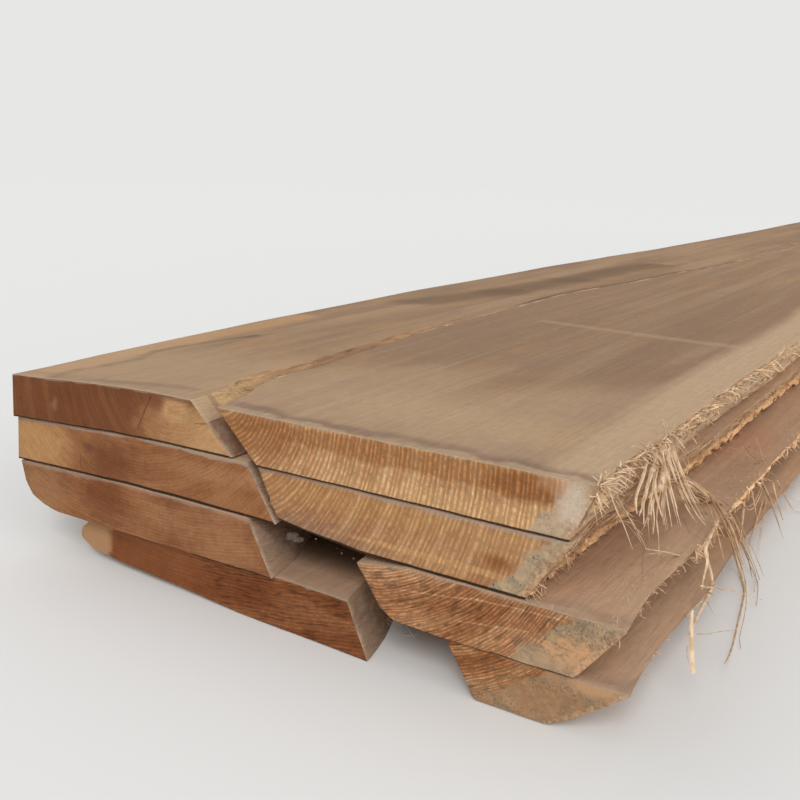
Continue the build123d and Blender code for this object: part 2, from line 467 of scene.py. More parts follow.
# %% Helpers for finishes
class Finish:
    """A material being built."""

    def __init__(self, name):
        self.material = bpy.data.materials.new(name)
        self.material.use_nodes = True
        self.tree = self.material.node_tree
        self.shader = self.tree.nodes["Principled BSDF"]
        self.place = self.add("TexCoord").outputs["Object"]

    def add(self, kind, feeds=(), **settings):
        node = self.tree.nodes.new("ShaderNode" + kind)
        for key, value in settings.items():
            setattr(node, key, value)
        for key, value in dict(feeds).items():
            self.feed(node.inputs[key], value)
        return node

    def feed(self, socket, value):
        if isinstance(value, bpy.types.NodeSocket):
            self.tree.links.new(value, socket)
        elif value is not None:
            socket.default_value = value

    def calc(self, operation, a, b=None, clamp=False):
        return self.add("Math", {0: a, 1: b}, operation=operation, use_clamp=clamp).outputs[0]

    def plus(self, a, b):
        return self.calc("ADD", a, b)

    def minus(self, a, b):
        return self.calc("SUBTRACT", a, b)

    def times(self, a, b):
        return self.calc("MULTIPLY", a, b)

    def vector(self, operation, a, b=None):
        node = self.add("VectorMath", {0: a, 1: b}, operation=operation)
        return node.outputs["Value" if operation in ("LENGTH", "DOT_PRODUCT") else "Vector"]

    def number(self, name):
        return self.add("Attribute", attribute_name=name).outputs["Fac"]

    def cloud(self, size, detail=3.0, rough=0.55, shift=0.0, warp=0.0):
        """Noise with one size in metres per axis, from 0 to 1."""
        scaled = self.vector("MULTIPLY", self.place, tuple(1 / s for s in size))
        scaled = self.vector("ADD", scaled, (shift, shift, shift))
        node = self.add("TexNoise", {"Vector": scaled, "Scale": 1.0, "Detail": detail,
                                     "Roughness": rough, "Distortion": warp})
        return node.outputs["Fac"]

    def wander(self, reach, *size_and_detail, **settings):
        """The same noise, but round 0 and so wide in all."""
        return self.times(self.minus(self.cloud(*size_and_detail, **settings), 0.5), reach)

    def fade(self, value, low, high):
        """0 at low, 1 at high, soft between; low may be the larger."""
        share = self.calc("DIVIDE", self.minus(value, low), self.minus(high, low), clamp=True)
        node = self.add("MapRange", {"Value": share}, interpolation_type="SMOOTHSTEP")
        return node.outputs["Result"]

    def blend(self, share, under, over, mode="MIX"):
        node = self.add("Mix", data_type="RGBA", blend_type=mode)
        self.feed(node.inputs[0], share)
        for index, value in ((6, under), (7, over)):
            value = (*value, 1) if isinstance(value, tuple) and len(value) == 3 else value
            self.feed(node.inputs[index], value)
        return node.outputs[2]

    def over(self, colour, mask, share, tone):
        """A tone laid over a colour by a share, where a mask shows."""
        return self.blend(self.times(mask, share), colour, tone)

    def oval(self, centre, radii, edge, stray, grain):
        """A soft-edged oval stain: 1 inside, 0 outside, its outline broken by noise."""
        away = self.vector("SUBTRACT", self.place, tuple(centre))
        reach = self.vector("LENGTH", self.vector("DIVIDE", away, tuple(radii)))
        rough = self.wander(stray * 2, grain, 4, 0.6)
        return self.fade(self.plus(reach, rough), 1 + edge, 1 - edge)

    def stroke(self, start, stop, width, wobble, size):
        """A thin line between two points: 1 on it and 0 beyond its width."""
        start, stop = Vector(start), Vector(stop)
        run = stop - start
        scaled = self.vector("MULTIPLY", self.place, tuple(1 / s for s in size))
        drift = self.add("TexNoise", {"Vector": scaled, "Scale": 1.0, "Detail": 2.0})
        drift = self.vector("SUBTRACT", drift.outputs["Color"], (0.5, 0.5, 0.5))
        drift = self.vector("MULTIPLY", drift, (wobble * 2,) * 3)
        away = self.vector("SUBTRACT", self.vector("ADD", self.place, drift), tuple(start))
        share = self.calc("DIVIDE", self.vector("DOT_PRODUCT", away, tuple(run)),
                          run.length_squared, clamp=True)
        spot = self.add("VectorMath", {0: tuple(run), "Scale": share}, operation="SCALE")
        off = self.vector("LENGTH", self.vector("SUBTRACT", away, spot.outputs["Vector"]))
        return self.fade(off, width, width * 0.25)

    def bands(self, reach, detail):
        """Noise that changes along one number only."""
        node = self.add("TexNoise", {"W": reach, "Scale": 1.0, "Detail": detail},
                        noise_dimensions="1D")
        return node.outputs["Fac"]

    def polar(self, angle, reach):
        """Noise in a plane of angle and distance."""
        place = self.add("CombineXYZ", {0: angle, 1: reach}).outputs[0]
        return self.add("TexNoise", {"Vector": place, "Scale": 1.0, "Detail": 2.0}).outputs["Fac"]

    def rings(self, heart, spacing, sway, arc=20.0):
        """Growth rings round a heart: fine lines, broad bands, rays and dashes, from 0 to 1."""
        away = self.vector("SUBTRACT", self.place, (heart[0], 0, heart[1]))
        flat = self.vector("MULTIPLY", away, (1, 0, 1))
        drift = self.times(self.cloud((0.06, 0.9, 0.06), 2), sway)
        fine = self.times(self.cloud((0.007, 0.2, 0.007), 3), sway * 0.22)
        reach = self.plus(self.plus(self.vector("LENGTH", flat), drift), fine)
        uneven = self.bands(self.calc("DIVIDE", reach, spacing * 2.6), 1.0)
        turns = self.plus(self.calc("DIVIDE", reach, spacing), uneven)
        wave = self.calc("SINE", self.times(turns, 2 * pi))
        wave = self.calc("POWER", self.plus(0.5, self.times(wave, 0.5)), 1.5)
        broken = self.fade(self.cloud((0.005, 0.05, 0.005), 4, 0.65, shift=4.0), 0.30, 0.68)
        wave = self.times(wave, broken)
        band = self.bands(self.times(reach, 90.0), 3.0)
        parts = self.add("SeparateXYZ", {0: away})
        angle = self.calc("ARCTAN2", parts.outputs[2], parts.outputs[0])
        rays = self.polar(self.times(angle, 110.0), self.times(reach, 70.0))
        dashes = self.polar(self.times(angle, arc), self.times(reach, 430.0))
        return wave, band, rays, dashes

    def shaded(self, colour, tint):
        """A colour made lighter or darker by a number round 1."""
        grey = self.add("CombineColor", {0: tint, 1: tint, 2: tint}).outputs[0]
        return self.blend(1.0, colour, grey, "MULTIPLY")

    def finish(self, colour, rough, height=None, depth=None):
        self.feed(self.shader.inputs["Base Color"], colour)
        self.feed(self.shader.inputs["Roughness"], rough)
        self.shader.inputs["Specular IOR Level"].default_value = 0.12
        if height is not None:
            bump = self.add("Bump", {"Height": height, "Distance": depth, "Strength": 1.0})
            self.tree.links.new(bump.outputs["Normal"], self.shader.inputs["Normal"])
        return self.material


end_setback = 0.008


def end_spot(across, down):
    """A place on the near cut ends, from the picture."""
    return seen_at(across, down, 1, near_end + end_setback)


# %% [markdown]
# The cut ends show growth rings, fine and close, with a duller grid of rays across them.
# Rings are drawn by the distance from a heart, pushed about by noise. The boards were
# sawn some way from the middle of the log, so each heart lies outside its board, and each
# end gets its own stains on top. A thin dark line of dirt and painted shade marks each
# seam, and dust lies on the ledge that a board makes in front of the one above it.

# %% Cut ends
hearts = {"right_top": (-24, 164), "right_upper": (-34, 174), "right_lower": (88, 172),
          "right_bottom": (120, 164), "left_top": (-74, 178), "left_upper": (-118, 227),
          "left_lower": (-100, 560), "left_bottom": (-90, 800)}
hearts = {key: (x * millimetre, z * millimetre) for key, (x, z) in hearts.items()}
ledge_dust = (0.34, 0.26, 0.20)
# The tone of the seam lines: dirt, and painted shade of the gap between boards.
seam_dirt_and_shade = (0.022, 0.013, 0.008)
dash_length = 14 * millimetre
ring_sway = 0.006


def cut_end(key, base, dark, light, contrast, spacing=2.6, stains=(), sap=None, ledge=0.06,
            bands=0.6, seam=0.045, late=(), marks=0.12, marked=None):
    """The finish of a board's two cut ends. stains are (mask maker, colour, share); those
    called late go on top of the sapwood. marks is the strength of the dark dashes, and
    marked the mask maker of the place that has them."""
    f = Finish(key + " cut end")
    low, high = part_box(key + "_board")
    heart = hearts[key]
    far_off = Vector(((low.x + high.x) / 2 - heart[0], (low.z + high.z) / 2 - heart[1]))
    lines, band, rays, dashes = f.rings(heart, spacing * millimetre, ring_sway,
                                        far_off.length / dash_length)
    patchy = f.cloud((0.05, 0.05, 0.03), 3, shift=len(key) * 1.7)
    colour = f.blend(f.fade(patchy, 0.35, 0.65), base, dark)
    colour = f.over(colour, f.fade(band, 0.48, 0.66), bands, light)
    colour = f.over(colour, f.fade(band, 0.46, 0.32), bands, dark)
    for make, tone, share in stains:
        colour = f.over(colour, make(f), share, tone)
    pores = f.fade(f.cloud((0.0010, 0.01, 0.0010), 2, shift=1.1), 0.60, 0.72)
    fine = f.cloud((0.0014, 0.01, 0.0014), 3, 0.6)
    tint = f.plus(1 - contrast * 0.29, f.times(lines, contrast * 1.0))
    tint = f.times(tint, f.plus(0.78, f.times(fine, 0.32)))
    tint = f.times(tint, f.plus(0.90, f.times(rays, 0.22)))
    tint = f.plus(tint, f.times(pores, 0.22))
    dashed = f.times(f.fade(dashes, 0.50, 0.64), -marks)
    if marked:
        dashed = f.times(dashed, marked(f))
    tint = f.times(tint, f.plus(1 + marks * 0.25, dashed))
    colour = f.shaded(colour, tint)
    if sap:
        colour = sap(f, colour)
    for make, tone, share in late:
        colour = f.over(colour, make(f), share, tone)
    level = f.number("level")
    drift = f.wander(0.16, (0.02, 0.02, 0.008), 4)
    rim = f.fade(f.plus(level, drift), 0.985 - ledge, 1.0 - ledge * 0.4)
    colour = f.over(colour, rim, 0.75 if ledge > 0.05 else 0.4, ledge_dust)
    # A thin dark line near the foot of each end, partly dirt and partly painted shade of the seam
    # between boards.
    thin = f.wander(0.03, (0.01, 0.02, 0.008), 3)
    if seam:
        line = f.fade(f.plus(level, thin), seam + 0.012, seam - 0.010)
        colour = f.over(colour, line, 0.95, seam_dirt_and_shade)
    height = f.plus(f.times(lines, 0.5), fine)
    return f.finish(colour, 0.82, height, 0.00025)


# %% [markdown]
# Just inside the bark the wood is pale sapwood. It is the first to go mouldy, so it has
# grey clouds and black specks, and the bast outside it shows as a thin brown rim.

# %% Sapwood
black_spot = (0.05, 0.038, 0.028)


def sapwood(tone, width, speck, slope=0.0, grey=0.4):
    """A pale band inside the right bark edge, with specks and clouds of mould, and outside
    it the brown bast."""
    def paint(f, colour):
        stray = f.minus(f.cloud((0.020, 0.05, 0.012), 5, 0.62), 0.5)
        gap = f.plus(f.number("right_gap"), f.times(stray, 0.034))
        gap = f.plus(gap, f.times(f.number("level"), slope))
        mask = f.fade(gap, width + 0.004, width - 0.003)
        cloud = f.cloud((0.010, 0.05, 0.008), 4, 0.6)
        pale = f.blend(f.fade(cloud, 0.35, 0.65), tone, tuple(c * 0.80 for c in tone))
        mould = f.fade(f.cloud((0.013, 0.05, 0.009), 4, 0.65, shift=3.3), 0.47, 0.62)
        pale = f.over(pale, mould, grey, (0.20, 0.165, 0.12))
        specks = f.fade(f.cloud((0.0013, 0.01, 0.0013), 3, 0.65), speck + 0.05, speck - 0.04)
        specks = f.times(specks, f.plus(0.15, f.times(mould, 0.75)))
        pale = f.blend(specks, pale, black_spot)
        scratch = f.fade(f.cloud((0.003, 0.02, 0.006), 3, shift=7.0), 0.60, 0.70)
        pale = f.over(pale, scratch, 0.35, (0.22, 0.16, 0.11))
        colour = f.blend(mask, colour, pale)
        shell = f.plus(f.number("right_gap"), f.times(stray, 0.018))
        grain = f.cloud((0.0025, 0.01, 0.0025), 4, 0.65)
        bast = f.blend(f.fade(grain, 0.35, 0.65), (0.27, 0.155, 0.085), (0.50, 0.33, 0.20))
        colour = f.blend(f.fade(shell, 0.0085, 0.0035), colour, bast)
        groove = f.times(f.fade(shell, 0.0095, 0.0075), f.fade(shell, 0.0050, 0.0075))
        groove = f.times(groove, f.fade(grain, 0.45, 0.60))
        return f.over(colour, groove, 0.5, (0.13, 0.08, 0.045))
    return paint


# %% [markdown]
# Every mark on an end is a mask: a recipe that draws it from 0 to 1 in whatever finish it
# is put into. Its place is given where it shows in the picture, and its size in
# millimetres. Marks reach through the board, so that they show on both of its ends.

# %% Stains, cracks and mould
through = 10
crack_wobble = 0.8 * millimetre


def end_oval(f, spot, wide, high, edge, stray, grain):
    """An oval on a cut end, with its radii in mm."""
    return f.oval(spot, (wide * millimetre, through, high * millimetre), edge, stray, grain)


def stain(across, down, wide, high, edge, stray):
    """An oval stain on a cut end, by its place in the picture and its size in mm."""
    spot = end_spot(across, down)
    return lambda f: end_oval(f, spot, wide, high, edge, stray, (0.012, 0.05, 0.008))


def crack(points, width):
    """A thin crack on a cut end, through places in the picture."""
    spots = [end_spot(*point) for point in points]

    def draw(f):
        parts = []
        for start, stop in zip(spots, spots[1:]):
            start, stop = (start.x, 0, start.z), (stop.x, 0, stop.z)
            keep = f.place
            f.place = f.vector("MULTIPLY", keep, (1, 0, 1))
            parts.append(f.stroke(start, stop, width * millimetre, crack_wobble, (0.006,) * 3))
            f.place = keep
        mask = parts[0]
        for part in parts[1:]:
            mask = f.calc("MAXIMUM", mask, part)
        return mask
    return draw


def sooty(across, down, wide, high):
    """A cloud of mould: many small dots, crowded inside an oval."""
    spot = end_spot(across, down)

    def draw(f):
        inside = end_oval(f, spot, wide, high, 0.6, 0.7, (0.010, 0.05, 0.008))
        dots = f.cloud((0.0016, 0.01, 0.0016), 4, 0.7, shift=2.2)
        return f.times(inside, f.fade(dots, 0.46, 0.64))
    return draw


def blot(across, down, wide, high):
    """A broken blot on a cut end: an oval filled with ragged patches."""
    spot = end_spot(across, down)

    def draw(f):
        inside = end_oval(f, spot, wide, high, 0.6, 0.8, (0.007, 0.05, 0.005))
        rags = f.cloud((0.0045, 0.01, 0.0030), 4, 0.65, shift=5.5)
        return f.times(inside, f.fade(rags, 0.36, 0.56))
    return draw


# %% [markdown]
# The right boards show clear rings, golden in the upper two and redder in the lower two.
# The left ones are red-brown and dull. Each end gets a main colour with a darker and a
# lighter one, then how strongly its rings show, and then its own marks.

# %% The eight cut ends
cut_ends = {
    "right_top": cut_end("right_top", (0.50, 0.285, 0.138), (0.42, 0.220, 0.100),
                         (0.59, 0.37, 0.19), 0.76, spacing=3.6, ledge=0.02, stains=(
        (stain(430, 464, 155, 8, 0.25, 0.5), (0.31, 0.13, 0.045), 0.7),
        (stain(525, 488, 27, 9, 0.3, 0.5), (0.27, 0.105, 0.036), 0.8),
        (stain(255, 432, 44, 22, 0.6, 0.6), (0.29, 0.115, 0.042), 0.75),
        (stain(470, 512, 80, 9, 0.6, 0.4), (0.57, 0.34, 0.16), 0.65)),
        sap=sapwood((0.50, 0.36, 0.235), 0.026, 0.38, slope=0.010, grey=0.2), late=(
        (stain(556, 484, 12, 6, 0.5, 0.5), (0.50, 0.32, 0.18), 0.35),
        (stain(573, 505, 10, 13, 0.5, 0.6), (0.62, 0.52, 0.42), 0.5))),
    "right_upper": cut_end("right_upper", (0.43, 0.230, 0.108), (0.36, 0.175, 0.078),
                           (0.50, 0.30, 0.15), 0.58, spacing=3.5, ledge=0.07, seam=0.05, stains=(
        (stain(300, 534, 62, 13, 0.6, 0.6), (0.27, 0.145, 0.088), 0.75),
        (stain(360, 508, 80, 7, 0.5, 0.5), (0.45, 0.24, 0.09), 0.5),
        (stain(440, 562, 70, 2.2, 0.4, 0.6), (0.52, 0.29, 0.125), 0.7),
        (stain(497, 563, 8, 5, 0.6, 0.9), (0.23, 0.075, 0.025), 0.75),
        (stain(505, 545, 32, 9, 0.5, 0.5), (0.46, 0.26, 0.115), 0.6)),
        sap=sapwood((0.47, 0.34, 0.21), 0.028, 0.40, slope=0.016, grey=0.5)),
    "right_lower": cut_end("right_lower", (0.39, 0.195, 0.092), (0.28, 0.118, 0.048),
                           (0.49, 0.29, 0.145), 0.88, spacing=2.1, ledge=0.02, seam=0.03,
                           bands=0.25, marks=0.5, stains=(
        (stain(385, 575, 40, 11, 0.6, 0.5), (0.47, 0.26, 0.135), 0.75),
        (stain(432, 600, 55, 11, 0.7, 0.8), (0.21, 0.070, 0.026), 0.5),
        (stain(490, 612, 60, 8, 0.6, 0.7), (0.24, 0.085, 0.032), 0.35),
        (crack(((400, 590), (440, 596), (478, 600)), 0.8), (0.60, 0.37, 0.20), 0.4),
        (crack(((455, 620), (490, 626), (530, 632)), 0.7), (0.56, 0.34, 0.18), 0.4),
        (crack(((470, 598), (510, 607), (565, 621)), 0.9), (0.60, 0.38, 0.22), 0.4)),
        sap=sapwood((0.43, 0.285, 0.165), 0.044, 0.36, slope=0.012, grey=0.55), late=(
        (sooty(583, 636, 26, 10), (0.13, 0.105, 0.07), 0.8),
        (sooty(545, 645, 24, 6), (0.16, 0.12, 0.08), 0.55),
        (blot(574, 655, 20, 8), (0.60, 0.32, 0.15), 0.75))),
    "right_bottom": cut_end("right_bottom", (0.32, 0.135, 0.052), (0.22, 0.08, 0.028),
                            (0.43, 0.22, 0.095), 0.94, spacing=2.0, ledge=0.02, seam=0,
                            marks=0.45, stains=(
        (stain(510, 702, 60, 8, 0.5, 0.6), (0.33, 0.19, 0.10), 0.75),
        (stain(565, 706, 22, 7, 0.5, 0.6), (0.34, 0.16, 0.07), 0.7)),
        sap=sapwood((0.40, 0.235, 0.125), 0.050, 0.36, grey=0.5), late=(
        (sooty(530, 682, 44, 5), (0.12, 0.09, 0.055), 0.75),
        (sooty(495, 702, 34, 6), (0.14, 0.10, 0.06), 0.6),
        (blot(546, 700, 26, 9), (0.27, 0.14, 0.065), 0.6),
        (stain(590, 690, 16, 5, 0.5, 0.6), (0.50, 0.29, 0.15), 0.6))),
    "left_top": cut_end("left_top", (0.165, 0.060, 0.024), (0.145, 0.051, 0.019),
                        (0.235, 0.095, 0.038), 0.16, ledge=0.02, bands=0.35, seam=0.04, stains=(
        (stain(200, 437, 45, 18, 0.6, 0.5), (0.50, 0.29, 0.135), 0.85),
        (stain(168, 425, 30, 18, 0.6, 0.5), (0.33, 0.16, 0.068), 0.6),
        (stain(175, 410, 15, 9, 0.5, 0.3), (0.47, 0.28, 0.13), 0.85),
        (stain(176, 411, 6, 3.5, 0.5, 0.3), (0.38, 0.19, 0.08), 0.6),
        (stain(159, 402, 7, 7, 0.5, 0.5), (0.17, 0.065, 0.028), 0.7),
        (stain(180, 397, 22, 3.5, 0.5, 0.5), (0.16, 0.085, 0.05), 0.65),
        (stain(61, 403, 4, 5, 0.7, 1.2), (0.36, 0.21, 0.12), 0.4),
        (crack(((153, 396), (147, 410), (140, 428)), 0.8), (0.08, 0.03, 0.015), 0.8),
        (crack(((196, 423), (210, 425), (220, 421)), 0.7), (0.12, 0.06, 0.03), 0.7))),
    "left_upper": cut_end("left_upper", (0.30, 0.132, 0.055), (0.25, 0.10, 0.042),
                          (0.36, 0.175, 0.078), 0.24, ledge=0.06, bands=0.3, seam=0.055, stains=(
        (stain(36, 440, 44, 24, 0.5, 0.5), (0.44, 0.24, 0.10), 0.85),
        (stain(112, 462, 32, 18, 0.7, 0.6), (0.15, 0.052, 0.02), 0.85),
        (stain(90, 448, 5, 4, 0.5, 0.5), (0.13, 0.06, 0.035), 0.6),
        (stain(215, 475, 50, 6, 0.6, 0.6), (0.37, 0.19, 0.09), 0.5),
        (crack(((82, 450), (84, 470)), 0.7), (0.10, 0.04, 0.02), 0.6))),
    "left_lower": cut_end("left_lower", (0.28, 0.118, 0.05), (0.20, 0.078, 0.032),
                          (0.35, 0.17, 0.078), 0.28, ledge=0.05, bands=0.3, seam=0.025, stains=(
        (stain(42, 490, 30, 24, 0.6, 0.5), (0.31, 0.155, 0.072), 0.8),
        (stain(105, 492, 26, 13, 0.7, 0.6), (0.16, 0.053, 0.019), 0.8),
        (stain(170, 520, 30, 8, 0.7, 0.6), (0.36, 0.18, 0.085), 0.5),
        (stain(225, 545, 26, 18, 0.7, 0.6), (0.35, 0.175, 0.085), 0.5))),
    "left_bottom": cut_end("left_bottom", (0.205, 0.072, 0.026), (0.150, 0.048, 0.016),
                           (0.33, 0.145, 0.058), 0.50, spacing=2.5, ledge=0.02, bands=0.35,
                           seam=0, marks=0.42, marked=stain(296, 612, 112, 60, 0.3, 0.4), late=(
        (stain(146, 562, 52, 34, 0.6, 0.5), (0.25, 0.088, 0.033), 0.36),
        (stain(84, 538, 20, 34, 0.2, 0.35), (0.43, 0.25, 0.13), 0.8)), stains=(
        (stain(300, 615, 34, 10, 0.6, 0.5), (0.28, 0.12, 0.048), 0.6),
        (stain(228, 590, 46, 14, 0.6, 0.6), (0.145, 0.044, 0.014), 0.65),
        (stain(330, 634, 50, 7, 0.6, 0.6), (0.165, 0.052, 0.018), 0.5))),
}
print(len(cut_ends), "finishes for cut ends")

# %% [markdown]
# The sawn faces have lain in the open: they are dull tan, with long darker streaks where
# the rings run out, faint marks of the saw across them, and a violet-grey stain just
# behind the cut end. The right edge of the top board keeps a pale strip of sapwood.

# %% Sawn faces
def top_spot(across, down, level):
    """A place on a sawn face, from the picture and the height of that face in mm."""
    return seen_at(across, down, 2, level * millimetre)


right_height, left_height, ledge_height = 154, 156, 73
face_ring_spacing, face_ring_sway = 6 * millimetre, 0.035


def sawn_face(key, base, dark, light, stains=(), sap=0.0, violet=0.5, gap_shade=0.0):
    """The finish of a board's two sawn faces."""
    f = Finish(key + " sawn face")
    lines, band = f.rings(hearts[key], face_ring_spacing, face_ring_sway)[:2]
    broad = f.cloud((0.10, 0.8, 0.3), 3, shift=len(key) * 2.3, warp=0.6)
    streak = f.cloud((0.022, 0.7, 0.3), 3, shift=5.0, warp=0.4)
    blotch = f.cloud((0.055, 0.15, 0.10), 4, 0.6, shift=8.4, warp=0.5)
    fibre = f.cloud((0.0016, 0.05, 0.05), 3, 0.6)
    colour = f.blend(f.fade(broad, 0.32, 0.68), base, dark)
    colour = f.over(colour, f.fade(streak, 0.45, 0.70), 0.35, light)
    colour = f.over(colour, f.fade(band, 0.50, 0.66), 0.18, dark)
    warm = (base[0] * 1.08, base[1] * 1.0, base[2] * 0.86)
    colour = f.over(colour, f.fade(blotch, 0.50, 0.68), 0.6, warm)
    grey = tuple(c * 0.80 for c in base[:2]) + (base[2] * 0.92,)
    colour = f.over(colour, f.fade(blotch, 0.44, 0.28), 0.55, grey)
    for make, tone, share in stains:
        colour = f.over(colour, make(f), share, tone)
    if sap:
        drift = f.wander(0.03, (0.2, 0.35, 0.2), 2)
        gap = f.plus(f.number("right_gap"), drift)
        colour = f.over(colour, f.fade(gap, sap + 0.012, sap - 0.012), 0.75, (0.52, 0.365, 0.235))
    near = f.number("near_gap")
    # Painted shade: beyond a few centimetres from the near end the face is darkened, by this strength,
    # where the gap under the board above lies in shadow.
    colour = f.over(colour, f.fade(near, 0.022, 0.060), gap_shade, (0.06, 0.038, 0.026))
    # Painted light: the face is lighter within about 0.12 to 0.30 m of the cut end, standing for the
    # stronger light at the camera's end of the stack.
    drift = f.wander(0.5, (0.12, 0.3, 0.2), 3, shift=6.6)
    painted_near_light = f.fade(f.plus(near, drift), 0.30, 0.12)
    colour = f.over(colour, painted_near_light, 0.5 * (1 - gap_shade), light)
    ragged = f.wander(0.036, (0.040, 0.04, 0.1), 5, 0.6)
    near_line = f.plus(near, ragged)
    strip = f.times(f.fade(near_line, 0.004, 0.010), f.fade(near_line, 0.026, 0.012))
    patchy = f.fade(f.cloud((0.09, 0.06, 0.1), 3, shift=1.9), 0.26, 0.50)
    strip = f.times(strip, patchy)
    colour = f.over(colour, strip, violet, (0.20, 0.125, 0.092))
    # Painted light: a pale rim along the near arris of the face, where the light catches it.
    rim = f.times(f.fade(near_line, 0.009, 0.001), 0.55)
    colour = f.blend(rim, colour, (0.37, 0.275, 0.19))
    saw = f.cloud((0.15, 0.0026, 0.15), 2, 0.5, warp=0.3)
    dots = f.fade(f.cloud((0.0022, 0.0035, 0.01), 3, 0.6, shift=6.1), 0.66, 0.74)
    mottle = f.cloud((0.0055, 0.015, 0.01), 4, 0.68, shift=9.7)
    thread = f.cloud((0.0035, 0.6, 0.3), 3, 0.6, shift=2.9, warp=0.3)
    tint = f.plus(0.61, f.times(fibre, 0.11))
    tint = f.plus(tint, f.times(thread, 0.24))
    tint = f.plus(tint, f.times(mottle, 0.34))
    tint = f.plus(tint, f.times(saw, 0.13))
    tint = f.times(tint, f.plus(0.96, f.times(lines, 0.06)))
    tint = f.minus(tint, f.times(dots, 0.16))
    colour = f.shaded(colour, tint)
    height = f.plus(f.times(fibre, 0.6), f.times(saw, 0.5))
    return f.finish(colour, 0.80, f.plus(height, mottle), 0.0007)


# %% Streaks and patches on sawn faces
def streak(start, stop, level, width, wobble):
    """A long streak on a sawn face, between places in the picture, width in mm."""
    a, b = top_spot(*start, level), top_spot(*stop, level)
    return lambda f: f.stroke(a, b, width * millimetre, wobble * millimetre, (0.10, 0.10, 0.10))


def patch(across, down, level, wide, long, edge=0.6, stray=0.6):
    """An oval stain on a sawn face, by its place in the picture and its size in mm."""
    spot = top_spot(across, down, level)
    return lambda f: f.oval(spot, (wide * millimetre, long * millimetre, through), edge, stray,
                            (0.025, 0.05, 0.05))


def lines(points, level, width, tone, share, wobble=4.0):
    """A wavy line of streaks from place to place."""
    return [(streak(a, b, level, width, wobble), tone, share) for a, b in zip(points, points[1:])]


# %% [markdown]
# The two top boards show best, so their stains are laid one by one. The ledge of the
# second right board from below has two fresh cracks. The other faces lie in the dark
# between boards and share one plain finish. All these lower faces are painted lighter than
# the top boards, as painted light against the shade they lie in, and the bottom left one is
# darkened with painted shade beyond a few centimetres from its near end.

# %% The eight pairs of sawn faces
fair = (0.45, 0.310, 0.190)
weathered = (0.305, 0.192, 0.112)
dull = (0.250, 0.153, 0.091)
# Painted light: tones lighter than the top boards', so that sawn faces lying in shade between the
# boards read as lit.
ledge_lightened_for_shade = ((0.50, 0.33, 0.215), (0.41, 0.26, 0.17), (0.57, 0.39, 0.26))
sawn_faces = {
    "right_top": sawn_face("right_top", weathered, dull, fair, stains=[
        (streak((590, 402), (740, 350), right_height, 26, 12), (0.30, 0.172, 0.105), 0.65),
        (streak((735, 343), (900, 235), right_height, 34, 14), (0.29, 0.165, 0.10), 0.65),
        (streak((540, 425), (640, 392), right_height, 12, 10), (0.29, 0.18, 0.12), 0.45),
        (patch(530, 455, right_height, 44, 13), (0.24, 0.15, 0.115), 0.7),
        (patch(420, 424, right_height, 70, 9), (0.27, 0.17, 0.12), 0.5),
        (patch(330, 412, right_height, 50, 9), (0.31, 0.20, 0.13), 0.5),
        (patch(470, 330, right_height, 60, 160, 0.9, 0.8), (0.235, 0.15, 0.095), 0.5),
        (patch(560, 300, right_height, 60, 260, 0.9, 0.8), (0.25, 0.155, 0.095), 0.5),
        (patch(440, 415, right_height, 90, 40, 0.9, 0.9), (0.46, 0.325, 0.19), 0.5),
        (patch(652, 380, right_height, 26, 90, 0.9, 0.6), (0.23, 0.135, 0.083), 0.55),
        (patch(306, 371, right_height, 12, 45, 0.8, 0.8), (0.17, 0.10, 0.065), 0.6),
        (patch(700, 318, right_height, 80, 330, 0.9, 0.6), (0.215, 0.132, 0.082), 0.5),
        *lines(((395, 385), (520, 345), (640, 312)), right_height, 5, (0.23, 0.145, 0.09), 0.45, 5.0),
        *lines(((430, 400), (560, 358), (700, 318)), right_height, 4, (0.23, 0.145, 0.09), 0.4, 5.0),
        (patch(562, 431, right_height, 24, 32, 0.8, 0.8), (0.40, 0.25, 0.125), 0.6),
        (patch(606, 408, right_height, 16, 70, 0.7, 0.6), (0.225, 0.138, 0.092), 0.75),
        (streak((550, 322), (741, 348), right_height, 15, 8), (0.47, 0.34, 0.22), 0.3)], sap=0.044,
        violet=0.75),
    "left_top": sawn_face("left_top", (0.335, 0.214, 0.122), dull, fair, violet=0.2, stains=[
        *lines(((30, 371), (76, 359), (130, 346), (190, 333), (300, 311)), left_height, 34,
               (0.45, 0.265, 0.13), 0.85),
        *lines(((50, 372), (77, 364), (107, 360), (138, 354), (158, 345), (204, 337), (255, 331)),
               left_height, 12, (0.12, 0.065, 0.038), 0.95, 8.0),
        *lines(((42, 372), (77, 376), (115, 380), (153, 384), (192, 389)), left_height, 9,
               (0.14, 0.08, 0.05), 0.85, 5.0),
        (streak((330, 311), (560, 262), left_height, 12, 6), (0.25, 0.16, 0.11), 0.5),
        *lines(((425, 298), (505, 290), (570, 279), (650, 265)), left_height, 60,
               (0.155, 0.092, 0.050), 0.75, 14.0)]),
    "right_lower": sawn_face("right_lower", *ledge_lightened_for_shade, violet=0.3, stains=[
        *lines(((555, 597), (600, 566), (650, 528)), ledge_height, 16, (0.42, 0.21, 0.115), 0.5, 10.0),
        *lines(((575, 597), (640, 552), (680, 520)), ledge_height, 11, (0.35, 0.20, 0.135), 0.5, 10.0),
        (patch(740, 440, ledge_height, 30, 70), (0.46, 0.24, 0.14), 0.5),
        (patch(612, 546, ledge_height, 16, 60, 0.7, 0.5), (0.24, 0.105, 0.062), 0.6),
        *lines(((644, 546), (642, 563), (642, 579), (640, 595)), ledge_height, 0.7, (0.16, 0.09, 0.06),
               0.75, 1.5),
        *lines(((684, 520), (690, 534), (700, 538)), ledge_height, 0.9, (0.16, 0.09, 0.06), 0.7, 1.5),
        *lines(((560, 603), (600, 612), (628, 620)), ledge_height, 3.5, (0.55, 0.41, 0.29), 0.3, 4.0)]),
}
